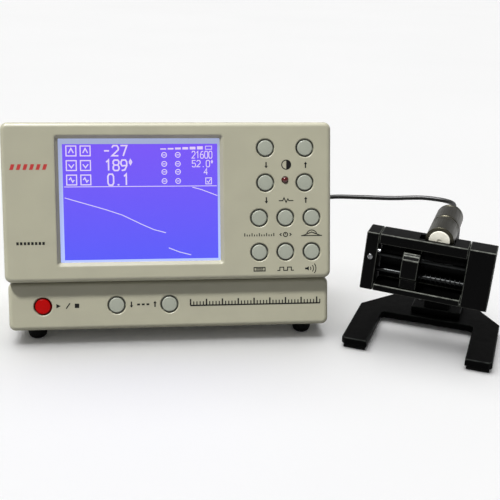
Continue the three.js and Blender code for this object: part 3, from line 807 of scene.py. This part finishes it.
def add_keys():
    rows = [(name, u, v, 0) for name, u, v in KEYS]
    rows += [(name, u, LOWER_KEY_HEIGHT, -LOWER.step) for name, u in LOWER_KEYS]
    for name, u, v, w in rows:
        paint = KEY_RED if name == "start_stop" else KEY_GREY
        place = PANEL_AT @ at(u * MM, v * MM, w * MM)
        piece(f"cap_{name}", key_cap(), place, paint, f"button_{name}", f"key_{name}")
    lamp = lathe([(0, -7), (LED.radius, -7), (LED.radius, 0.1),
        *[(LED.radius * cos(a), 0.1 + 1.3 * sin(a)) for a in (radians(9 * i) for i in range(1, 10))],
        (0, 1.4)], 40, at(LED.u, LED.v, 0))
    piece("led_lens", lamp, PANEL_AT, LED_RED, "signal_led")


def add_feet():
    radius, height = FOOT.radius, FOOT.height
    profile = [(0, 0), (radius * 0.5, 0), (radius * 0.66, 0.25), (radius * 0.8, 1), (radius * 0.9, 2),
        (radius * 0.97, 3.6), (radius, 5.4), (radius, height - 0.4), (radius - 0.4, height), (0, height)]
    for end in ("front", "rear"):
        for side in ("left", "right"):
            name = f"foot_{end}_{side}"
            place = middle(name)
            place.z = 0
            piece(f"rubber_{name}", lathe(profile), Matrix.Translation(place), RUBBER, name)


# ---- the screen ----
GLASS_FRONT = -BEZEL.wall - GAP
LCD_FRONT = GLASS_FRONT - SCREEN.glass - GAP
SHEET = 0.05
DIGITS = {
    "0": [(0, 0.2), (0, 0.8), (0.2, 1), (0.8, 1), (1, 0.8), (1, 0.2), (0.8, 0), (0.2, 0), (0, 0.2)],
    "1": [(0.15, 0.8), (0.55, 1), (0.55, 0)],
    "2": [(0, 0.8), (0.2, 1), (0.8, 1), (1, 0.8), (1, 0.6), (0, 0.02), (1, 0.02)],
    "4": [(0.75, 0), (0.75, 1), (0, 0.32), (1, 0.32)],
    "5": [(1, 1), (0.08, 1), (0.04, 0.56), (0.75, 0.6), (1, 0.4), (1, 0.2), (0.8, 0), (0.2, 0), (0, 0.15)],
    "6": [(0.9, 1), (0.35, 0.95), (0, 0.55), (0, 0.2), (0.2, 0), (0.8, 0), (1, 0.2), (1, 0.38),
          (0.8, 0.56), (0.05, 0.52)],
    "7": [(0, 1), (1, 1), (0.4, 0)],
    "8": [(0.2, 0.52), (0, 0.7), (0, 0.85), (0.2, 1), (0.8, 1), (1, 0.85), (1, 0.7), (0.8, 0.52),
          (0.2, 0.52), (0, 0.35), (0, 0.15), (0.2, 0), (0.8, 0), (1, 0.15), (1, 0.35), (0.8, 0.52)],
    "9": [(0.1, 0), (0.65, 0.05), (1, 0.45), (1, 0.8), (0.8, 1), (0.2, 1), (0, 0.8), (0, 0.62), (0.2, 0.44),
          (0.95, 0.48)],
    "-": [(0.1, 0.5), (0.9, 0.5)],
    ".": [(0.35, 0.03), (0.65, 0.03)],
    "o": [(0.1, 0.8), (0.3, 1), (0.5, 0.8), (0.3, 0.6), (0.1, 0.8)],
}


def add_screen():
    u, v, half_w, half_h = SCREEN.u, SCREEN.v, SCREEN.width / 2, SCREEN.height / 2

    def sheet(overlap, back, ahead, radius):
        return block((u - half_w - overlap, u + half_w + overlap),
            (v - half_h - overlap, v + half_h + overlap), (back, ahead), radius, 2)
    piece("window_pane", sheet(4, GLASS_FRONT - SCREEN.glass, GLASS_FRONT, 0.2), PANEL_AT, GLASS,
        "screen_window")
    piece("lcd_body", sheet(6, LCD_FRONT - SCREEN.module, LCD_FRONT, 0.3), PANEL_AT, LCD_EDGE, "lcd_module")
    field = block((FIELD.left, FIELD.right), (FIELD.low, FIELD.high), (LCD_FRONT, LCD_FRONT + SHEET))
    piece("lcd_field", field, PANEL_AT, LCD_FIELD)
    marks = Marks(LCD_FRONT + SHEET, LCD_FRONT + 2 * SHEET)
    bold, fine = 1.15, 0.62
    for text, us, vs, width in (
        ("-27", (-49.8, -30.5), (95.6, 103.4), bold), ("189o", (-48.5, -25.0), (84.6, 92.5), bold),
        ("0.1", (-46.8, -29.5), (73.5, 81.8), bold), ("21600", (17.5, 33.7), (93.6, 98.9), fine),
        ("52.0o", (17.5, 35.5), (87.0, 91.9), fine), ("4", (26.6, 30.2), (81.0, 85.8), fine),
    ):
        marks.number(text, us, vs, width)
    for level in (99.5, 88.5, 77.6):
        for centre in (-73.4, -62.8):
            marks.line(rectangle(centre - 3.7, centre + 3.7, level - 3.7, level + 3.7), 0.85, True)
    # a swinging hand, an arc and two ticks stand for the three readings
    hands = {99.5: [(-1.8, -1.6), (0, 1.9), (1.8, -1.6)], 88.5: [(-2, 0.9), (0, -1.7), (2, 0.9)],
        77.6: [(-2, 0), (-0.7, 1.6), (0.7, -1.6), (2, 0)]}
    for level, inner in hands.items():
        for centre in (-73.4, -62.8):
            marks.line([(centre + x, level + y) for x, y in inner], 0.85)
    for level in (96.2, 89.4, 83.3, 76.3):
        for centre in (-3.4, 7.0):
            marks.line(circle(centre, level, 1.9, 12), fine, True)
            marks.line([(centre - 1.2, level), (centre + 1.2, level)], fine)
    marks.line(rectangle(28.2, 32.6, 73.9, 78.5), fine, True)
    marks.line([(29.1, 76.2), (30.2, 74.9), (31.9, 77.6)], fine)
    for step in range(6):
        start = -6.2 + 5.6 * step
        marks.patch(rectangle(start, start + 4.4, 100.3, 101.2 + 0.3 * step))
    marks.line(rectangle(28.2, 33.0, 100.4, 102.8), 0.5, True)
    marks.line([(-79.2, 72.4), (36.6, 72.4)], 0.55)
    traces = [[(-79, 64.1), (-75, 62.9), (-64.4, 59.7), (-54.6, 56.8), (-48.1, 54.8), (-35.9, 50.6),
        (-21.2, 43.3), (-12.2, 39.2), (-2.9, 36.6)], [(17.9, 71.5), (25.1, 69.5), (37, 64.9)],
        [(-0.9, 24.9), (7.3, 21.6), (16.2, 19.2)]]
    for trace in traces:
        marks.line(trace, 0.6)
    marks.finish("lcd_marks", LCD_MARK)


# ---- panel symbols ----
INK_HEIGHT = 0.05


def add_symbols():
    ink = Marks(0.0, INK_HEIGHT)
    for u, v, up in ((74.4, 88, False), (74.5, 61, False), (105, 87.9, True), (105.2, 61, True)):
        ink.arrow(u, v, up)
    ink.line(circle(90, 88.2, 3.5, 40), 0.75, True)
    ink.patch(circle(90, 88.2, 3.3, 20, -90, 90))
    ink.line([(84.1, 60.6), (87.2, 60.6), (88.2, 62.8), (89.8, 59.3), (91.2, 62), (92, 60.6),
        (95.5, 60.6)], 0.75)
    for step in range(13):
        tall = 2.5 if step % 3 == 0 else 1.5
        u = 57.6 + 1.88 * step
        ink.line([(u, 33.2), (u, 33.2 + tall)], 0.75)
    ink.line(circle(89.3, 34.4, 1.6, 24), 0.75, True)
    ink.line([(89.3, 34.4), (89.3, 35.4)], 0.68)
    for side in (-1, 1):
        ink.line([(89.3 + side * 3.2, 33.4), (89.3 + side * 4.4, 34.4), (89.3 + side * 3.2, 35.4)], 0.75)
    ink.line([(101.5, 33.3), (118, 33.3)], 0.75)
    ink.line([(103, 33.4), (109.8, 36), (116.6, 33.4)], 0.75)
    ink.line(circle(109.8, 33.4, 4.2, 12, 20, 160), 0.68)
    ink.line(rectangle(64.6, 73.2, 6.2, 9.0), 0.75, True)
    for level in (7.1, 8.1):
        ink.line([(66, level), (71.8, level)], 0.5)
    ink.line([(82.8, 6.4), (84.8, 6.4), (84.8, 8.9), (87.8, 8.9), (87.8, 6.4), (90.8, 6.4), (90.8, 8.9),
        (93.8, 8.9), (93.8, 6.4), (95.8, 6.4)], 0.75)
    ink.patch([(104.6, 6.9), (106, 6.9), (107.6, 5.9), (107.6, 9.3), (106, 8.3), (104.6, 8.3)])
    for radius in (2.0, 4.0, 6.0):
        ink.line(circle(107.2, 7.6, radius, 10, -38, 38), 0.68)
    # a row of plain marks low on the left of the panel
    for step in range(8):
        ink.patch(rectangle(-115 + 2.75 * step, -113.2 + 2.75 * step, 29, 31.2))
    ink.finish("upper_symbols", INK)

    badge = Marks(0.0, INK_HEIGHT)
    for step in range(6):
        u = -118.4 + 4.8 * step
        badge.patch([(u, 85.4), (u + 2.6, 85.4), (u + 4.0, 89.6), (u + 1.4, 89.6)])
    badge.finish("corner_mark", RED_INK)

    ink = Marks(-LOWER.step, INK_HEIGHT - LOWER.step)
    ink.patch([(-88, -21), (-88, -17.6), (-84.6, -19.3)])
    ink.line([(-80.6, -21.4), (-77.6, -17.2)], 0.85)
    ink.patch(rectangle(-74, -70.6, -21, -17.6))
    ink.arrow(-30.6, -19.2, False)
    ink.arrow(-12.4, -19.2, True)
    for u in (-26.2, -22.6, -19):
        ink.patch(rectangle(u, u + 2.2, -20, -18.6))
    # a graduated scale where the instrument's title is
    ink.line([(15, -21), (118, -21)], 1.1)
    for step in range(42):
        tall = 4.9 if step % 5 == 0 else 3.0
        u = 15.3 + 2.5 * step
        ink.line([(u, -20.8), (u, -20.8 + tall)], 1.15 if step % 5 == 0 else 0.85)
    ink.finish("lower_symbols", INK)


# ---- connectors on the rear ----
def add_connectors():
    inner, outer = UNIT.rear_inner, UNIT.rear_outer

    def about(width, ys, tall, radius=0.0):
        return block((-width / 2, width / 2), ys, (-tall / 2, tall / 2), radius, 2)

    def seat(name, bm, paint, node=None):
        piece(name, move(bm, at(x, 0, z)), UNIT_AT, paint, node)
    x, z, width, tall = PORTS["rocker"]
    housing = together(about(width, (inner - 11, outer + 0.5), tall))
    flange = about(width + 3.2, (outer + GAP, outer + 1.8), tall + 3.2, 0.5)
    housing = carve(housing, [flange], "UNION")
    housing = carve(housing, [about(9.2, (inner - 7, outer + 5), 14.8)])
    seat("switch_housing", housing, BLACK, "power_switch_housing")
    outline = [(-3, -3.4), (-3, 3.4), (1.2, 6.4), (3.2, 6.4), (2.6, 0), (3.2, -6.4), (1.2, -6.4)]
    rocker = prism_x(outline, -4.1, 4.1, 0.25, 2)
    tilt = at(x, outer - 1.6, z) @ Matrix.Rotation(radians(9), 4, "X")
    move(rocker, tilt)
    piece("switch_rocker", rocker, UNIT_AT, BLACK, "power_rocker", "power_switch")

    x, z, width, tall = PORTS["power"]
    inlet = about(width, (inner - 12, outer + 0.8), tall, 0.4)
    bore = drum(3.2, outer - 8, outer + 5, 40, ALONG_Y)
    seat("inlet_body", carve(inlet, [bore]), BLACK, "power_inlet")
    pin = lathe([(0, outer - 8.2), (0.9, outer - 8.2), (0.9, outer - 1.6), (0.5, outer - 1.0),
        (0, outer - 0.9)], 24, ALONG_Y)
    seat("inlet_pin", pin, METAL)

    x, z, width, tall = PORTS["printer"]
    port = about(width, (inner - 9, outer + 4), tall, 0.4)
    mouth = about(26, (outer - 4, outer + 9), 8, 0.0)
    seat("printer_shell", carve(port, [mouth]), METAL, "printer_port")
    pins = []
    for row, count in ((1.4, 5), (-1.4, 4)):
        for i in range(count):
            pin = lathe([(0, outer - 4.3), (0.5, outer - 4.3), (0.5, outer + 1.4), (0, outer + 1.8)], 12,
                ALONG_Y)
            pins.append(move(pin, at((i - (count - 1) / 2) * 2.8 + x, 0, z + row)))
    piece("printer_pins", together(*pins), UNIT_AT, METAL)

    radius, ahead = SOCKET.radius, outer + SOCKET.proud
    jack = lathe([(0, inner - 10), (radius, inner - 10), (radius, ahead - 0.4), (radius - 0.4, ahead),
        (5.3, ahead), (5, ahead - 0.3), (5, outer - 6), (0, outer - 6)], 56, ALONG_Y)
    x, z = SOCKET.x, SOCKET.z
    seat("signal_jack", jack, METAL, "signal_socket")


def add_plug():
    """The signal plug: a knurled collar, then a tapered boot round the cable."""
    start = UNIT.rear_outer + SOCKET.proud + GAP
    place = at(SOCKET.x, 0, SOCKET.z) @ ALONG_Y
    ridges = []
    for i in range(14):
        y = start + 1.2 + i
        ridges += [(7.0, y), (7.4, y + 0.25), (7.4, y + 0.75), (7.0, y + 0.95)]
    collar = lathe([(0, start - 7), (4.4, start - 7), (4.6, start - 6.8), (4.6, start), (6.6, start),
        (7.0, start + 0.5), *ridges, (6.8, start + 16), (5.6, start + 18), (4.6, start + 22),
        (4.2, start + 22.1), (3.8, start + 26), (3.3, start + 26.2), (3.2, start + 30), (0, start + 30)],
        56, place)
    return piece("signal_plug_body", collar, UNIT_AT, METAL, "signal_plug")


# ---- the test stand ----
BASE = Sizes(x=-2.4, y=-4, half=57.3, leg=20, inner=59.5, side=69, rear_half=26, depth=110, cut=2.5)
PLATE = Sizes(low=2.9, thick=6)
POST = Sizes(x=3.2, z=85.7, half=10, front=64, rear=88, top=5, shoe=20, shoe_thick=5.7, shoe_rear=94,
    screw_x=15, screw_y=79)
CRADLE = Sizes(left=-54.5, right=43.2, height=45.4, low_front=19, top_front=25, back=44.7)
CHANNEL = Sizes(top=8, bottom=5, back=5, notch=29.5, fixed_jaw=10, end_block=20)


def add_base():
    half, leg, cut = BASE.half, BASE.leg, BASE.cut
    right = [(half - leg - cut, BASE.inner), (half - leg, BASE.inner - cut), (half - leg, 0),
        (half - cut, 0), (half, cut), (half, BASE.side), (BASE.rear_half, BASE.depth)]
    outline = right + [(-x, y) for x, y in reversed(right)]
    low, high = PLATE.low, PLATE.low + PLATE.thick
    plate = loft([(outline, low), (outline, high)])
    rim = [e for e in plate.edges if abs(e.verts[0].co.z - e.verts[1].co.z) < 0.01]
    bmesh.ops.bevel(plate, geom=rim, offset=0.9, segments=4, profile=0.5, affect="EDGES")
    place = STAND_AT @ at(BASE.x * MM, BASE.y * MM, 0)
    piece("stand_base_plate", plate, place, STAND_BLACK, "stand_base")
    top = PLATE.low - GAP
    for name, x, y in (("front_left", -47, 9.5), ("front_right", 47, 9.5), ("rear_left", -26, 92),
                       ("rear_right", 26, 92)):
        if name.startswith("front"):
            pad = block((-8.5, 8.5), (-8.5, 8.5), (0, top), 0.6, 3)
        else:
            pad = lathe([(0, 0), (7.2, 0), *arc((7.2, 0.8), 0.8, -90, 0, 4), (8, top), (0, top)])
        piece(f"rubber_pad_{name}", pad, place @ at(x * MM, y * MM, 0), RUBBER, f"stand_pad_{name}")


def add_post():
    x, half = POST.x, POST.half
    low = PLATE.low + PLATE.thick + GAP
    column = block((x - half, x + half), (POST.front, POST.rear), (low, POST.z - POST.top), 0.9, 3)
    shoe = block((x - POST.shoe, x + POST.shoe), (POST.front - 2, POST.shoe_rear),
        (low, low + POST.shoe_thick), 0.9, 3)
    radius = BARREL.radius + GAP
    barrel_at = at(x, 0, POST.z) @ ALONG_Y
    seat = drum(radius, POST.front - 5, POST.rear + 5, 96, barrel_at)
    body = carve(carve(column, [shoe], "UNION"), [seat])
    piece("post_body", body, STAND_AT, STAND_BLACK, "stand_post")
    top = low + POST.shoe_thick
    heads = [screw_head(x + side * POST.screw_x, POST.screw_y, top, 2.6, 1.2) for side in (-1, 1)]
    piece("post_screws", together(*heads), STAND_AT, STEEL)


def head_piece(name, bm, paint, node, body="stand_head", sharp=32):
    return piece(name, bm, HEAD_AT, paint, node, body, sharp)


def turned_piece(name, profile, paint, node, body="root", segments=72):
    """A turned piece about the barrel's axis."""
    return head_piece(name, lathe(profile, segments, ALONG_Y), paint, node, body)


def groove(radius, y, width=0.7, deep=0.35):
    """A turned line round a barrel."""
    return [(radius, y - width / 2), (radius - deep, y - width / 4), (radius - deep, y + width / 4),
        (radius, y + width / 2)]


def add_barrel():
    radius, joint, bore = BARREL.radius, BARREL.joint, BARREL.bore
    front, rear, end = BARREL.front, BARREL.rear, BARREL.end
    washer = (joint + GAP, joint + 1.3)
    turned_piece("washer_ring", [(bore, washer[0]), (radius - 0.7, washer[0]),
        (radius - 0.5, washer[0] + 0.2), (radius - 0.5, washer[1] - 0.2), (radius - 0.7, washer[1]),
        (bore, washer[1]), (bore, washer[0])], NYLON, "friction_washer")
    sleeve = washer[1] + GAP
    turned_piece("barrel_rear_half", [(bore, sleeve), (radius - 0.4, sleeve), (radius, sleeve + 0.4),
        *groove(radius, sleeve + 3), (radius, rear - 0.3), (radius - 0.3, rear), (bore, rear),
        (bore, sleeve)], ALLOY, "bearing_sleeve")
    cap = rear + GAP
    turned_piece("barrel_cap", [(3.6, cap), (radius - 0.3, cap), (radius, cap + 0.3),
        *arc((radius - 1.6, end - 1.6), 1.6, 0, 90, 7), (3.6, end), (3.6, cap)], ALLOY, "barrel_end_cap")
    ribs = []
    for i in range(4):
        y, size = end + 3.4 + 2 * i, 4.0 - 0.28 * i
        ribs += [(size, y), (size, y + 1.1), (size - 0.45, y + 1.3), (size - 0.45, y + 1.8)]
    gland = turned_piece("gland_boot", [(0, cap + 1), (3.3, cap + 1), (3.3, end + GAP), (4.2, end + GAP),
        (4.4, end + 0.6), (4.4, end + 2.4), *ribs, (2.9, end + 12), (0, end + 12)], RUBBER, "cable_gland",
        segments=48)
    turned_piece("shaft_bar", [(0, 50.3), (3.6, 50.3), (4, 50.7), (4, 85.6), (3.6, 86), (0, 86)], STEEL,
        "swivel_shaft", "stand_head", 56)
    turned_piece("barrel_front_half", [(0, 34.3), (8.3, 34.3), (8.3, front + 0.3), (8.6, front),
        (radius - 0.6, front), *arc((radius - 0.6, front + 0.6), 0.6, -90, 0, 4)[1:],
        *groove(radius, joint - 6), *groove(radius, joint - 3), (radius, joint - 0.4),
        (radius - 0.4, joint), (bore, joint), (bore, 50), (0, 50)], ALLOY, "microphone_barrel",
        "stand_head")
    disc_front = front - 0.4
    turned_piece("nose_disc", [(0, disc_front + 0.5), (1.5, disc_front + 0.5), (1.8, disc_front),
        (7.4, disc_front), *arc((7.4, disc_front + 0.6), 0.6, -90, 0, 4)[1:], (8, 34), (0, 34)], NYLON,
        "barrel_nose_disc", "stand_head")
    return gland


def front_at(z):
    """Where the cradle's sloping front is at this height below its top."""
    rise = (z + CRADLE.height) / CRADLE.height
    return CRADLE.low_front + (CRADLE.top_front - CRADLE.low_front) * rise


def rod(z, radius, x0, x1, edge=0.0, y=ROD.y):
    """A round bar along X, which may have bevelled ends."""
    place = at(0, y, z) @ ALONG_X
    if not edge:
        return drum(radius, x0, x1, 40, place)
    start = [(0, x0), (radius - edge, x0), (radius, x0 + edge)]
    return lathe(start + [(radius, x1 - edge), (radius - edge, x1), (0, x1)], 40, place)


def rod_holes(radius, x0, x1):
    return [rod(ROD.high, radius, x0, x1), rod(ROD.low, radius, x0, x1)]


def add_cradle():
    low, back = -CRADLE.height, CRADLE.back
    inner_back = back - CHANNEL.back
    top, bottom = -CHANNEL.top, low + CHANNEL.bottom
    x0 = CRADLE.left + CHANNEL.fixed_jaw + GAP
    x1 = CRADLE.right - CHANNEL.end_block - GAP
    edge = 0.7
    channel = prism_x([(front_at(low), low), (back, low), (back, 0), (front_at(0), 0),
        (front_at(top), top), (inner_back, top), (inner_back, bottom), (front_at(bottom), bottom)], x0,
        x1, edge, 3)
    notch = block((-15, 12), (CHANNEL.notch, inner_back + 0.01), (top - 1, 1))
    radius = BARREL.radius + GAP
    seat = drum(radius, CHANNEL.notch, 60, 96, ALONG_Y)
    head_piece("cradle_channel", carve(channel, [notch, seat]), CRADLE_BLACK, "cradle_body")
    end = [(front_at(low), low), (back, low), (back, 0), (front_at(0), 0)]
    jaw = prism_x(end, CRADLE.left, CRADLE.left + CHANNEL.fixed_jaw, edge, 3)
    holes = together(*rod_holes(2.3, ROD.left - GAP, 0), rod(PIN.z, 1.8, -51.5, 0, y=PIN.y))
    head_piece("jaw_fixed", carve(jaw, [holes]), CRADLE_BLACK, "fixed_jaw")
    tail = prism_x(end, CRADLE.right - CHANNEL.end_block, CRADLE.right, edge, 3)
    holes = together(*rod_holes(2.3, 0, ROD.right + GAP))
    head_piece("channel_end", carve(tail, [holes]), CRADLE_BLACK, "end_block")
    for name, level, node in (("rod_high", ROD.high, "guide_rod_upper"),
                              ("rod_low", ROD.low, "guide_rod_lower")):
        bar = rod(level, ROD.radius, ROD.left, ROD.right, 0.3)
        head_piece(name, bar, DARK_STEEL, node)
    head_piece("pickup_pin", rod(PIN.z, 1.5, -51.2, -42, 0.35, PIN.y), STEEL, "sensor_pin")
    slope = atan2(CRADLE.top_front - CRADLE.low_front, CRADLE.height)
    head = screw_head(0, 0, 0, 2.2, 1.3)
    place = at(CRADLE.left + 5, front_at(ROD.high) - GAP, ROD.high)
    move(head, place @ Matrix.Rotation(pi / 2 - slope, 4, "X"))
    head_piece("jaw_screw_head", head, STEEL, "jaw_screw")


JAW = Sizes(left=-24.5, width=13, top=-11.6, lip=4, lip_top=-13.4, lip_low=-32)


def add_jaw():
    clear = 0.6
    low = -CRADLE.height
    inner_back = CRADLE.back - CHANNEL.back
    top, bottom = JAW.top, low + CHANNEL.bottom + clear
    lip, lip_top, lip_low = JAW.lip, JAW.lip_top, JAW.lip_low
    outline = [(front_at(bottom) + 1, bottom), (inner_back - clear, bottom), (inner_back - clear, top),
        (front_at(top) + 1, top), (front_at(lip_top), lip_top), (front_at(lip_top) - lip, lip_top - 2),
        (front_at(lip_low) - lip, lip_low + 2), (front_at(lip_low), lip_low)]
    right = JAW.left + JAW.width
    body = prism_x(outline, JAW.left, right, 0.7, 3)
    holes = together(*rod_holes(2.4, JAW.left - 5, right + 5))
    head_piece("jaw_sliding", carve(body, [holes]), CRADLE_BLACK, "sliding_jaw", "clamp_jaw")


SPRING = Sizes(start=-11.5, end=22.9, radius=3.0, wire=0.45, turns=9, steps=24, keep=0.235)


def add_spring():
    """A wound spring between the jaw and the end block."""
    bm = bmesh.new()
    start, end, wire = SPRING.start + 0.5, SPRING.end - 0.5, SPRING.wire
    count = SPRING.turns * SPRING.steps
    rings = []
    for i in range(count + 1):
        angle = 2 * pi * i / SPRING.steps
        outward = Vector((0, cos(angle), sin(angle)))
        along_line = Vector((start + (end - start) * i / count, ROD.y, ROD.low))
        center = along_line + outward * SPRING.radius
        ring = []
        for k in range(10):
            turn = 2 * pi * k / 10
            along = Vector((wire * sin(turn), 0, 0))
            ring.append(bm.verts.new(center + outward * wire * cos(turn) + along))
        rings.append(ring)
    skin(bm, rings)
    spring = head_piece("spring_coil", face_out(bm), DARK_STEEL, "jaw_spring", sharp=60)
    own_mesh(spring)


# ---- materials on the nodes that stay ----
def dress(node, paint):
    slots = frame["nodes"][node].data.materials
    slots.clear()
    slots.append(paint.material)


for board in ("key_board", "lower_key_board", "main_board"):
    dress(board, BOARD)
dress("speaker", BLACK)


# ---- floor and light ----
def add_stage():
    bm = bmesh.new()
    bmesh.ops.create_grid(bm, x_segments=1, y_segments=1, size=8)
    mesh = bpy.data.meshes.new("floor")
    bm.to_mesh(mesh)
    bm.free()
    paint = Paint("floor_paper", None, (252, 252, 252), 0.7, specular=0.2).mottle((250, 250, 250), 0.5)
    mesh.materials.append(paint.material)
    add_object("floor", mesh)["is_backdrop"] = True


def add_sun(name, aim, energy, spread):
    """A sun, by the direction it comes from and how wide it is in degrees."""
    data = bpy.data.lights.new(name, "SUN")
    data.energy = energy
    data.angle = radians(spread)
    light = add_object(name, data)
    light.rotation_mode = "QUATERNION"
    light.rotation_quaternion = Vector(aim).normalized().to_track_quat("Z", "Y")
    return light


def add_lights():
    scene = bpy.context.scene
    scene.view_settings.view_transform = "Standard"
    world = bpy.data.worlds.new("studio")
    world.use_nodes = True
    background = world.node_tree.nodes["Background"]
    background.inputs["Color"].default_value = (1, 1, 1, 1)
    # paler towards the horizon, like a studio's rounded back wall
    nodes, links = world.node_tree.nodes, world.node_tree.links
    direction = nodes.new("ShaderNodeSeparateXYZ")
    links.new(nodes.new("ShaderNodeTexCoord").outputs["Generated"], direction.inputs[0])
    fade = nodes.new("ShaderNodeMapRange")
    for socket, value in (("From Min", 0.05), ("From Max", 0.4), ("To Min", 0.74), ("To Max", 0.24)):
        fade.inputs[socket].default_value = value
    links.new(direction.outputs["Z"], fade.inputs["Value"])
    links.new(fade.outputs["Result"], background.inputs["Strength"])
    scene.world = world
    key = add_sun("key", (-0.31, -0.22, 0.94), 6.9, 7)
    add_sun("overhead", (-0.1, 0.25, 0.95), 2.4, 60)
    fill = add_sun("rear_fill", (0.45, 0.85, 0.3), 1.2, 40)
    fill.visible_glossy = False
    # these two light only the object, so they cast no shadow on the floor
    lit = bpy.data.collections.new("lit_by_key")
    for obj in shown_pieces():
        lit.objects.link(obj)
    for light in (key, fill):
        light.light_linking.receiver_collection = lit


# ---- everything together ----
gland_piece = add_barrel()
plug_piece = add_plug()
add_cable()
add_front()
add_case()
add_rear()
add_keys()
add_feet()
add_screen()
add_symbols()
add_connectors()
add_base()
add_post()
add_cradle()
add_jaw()
add_spring()
add_stage()
add_lights()
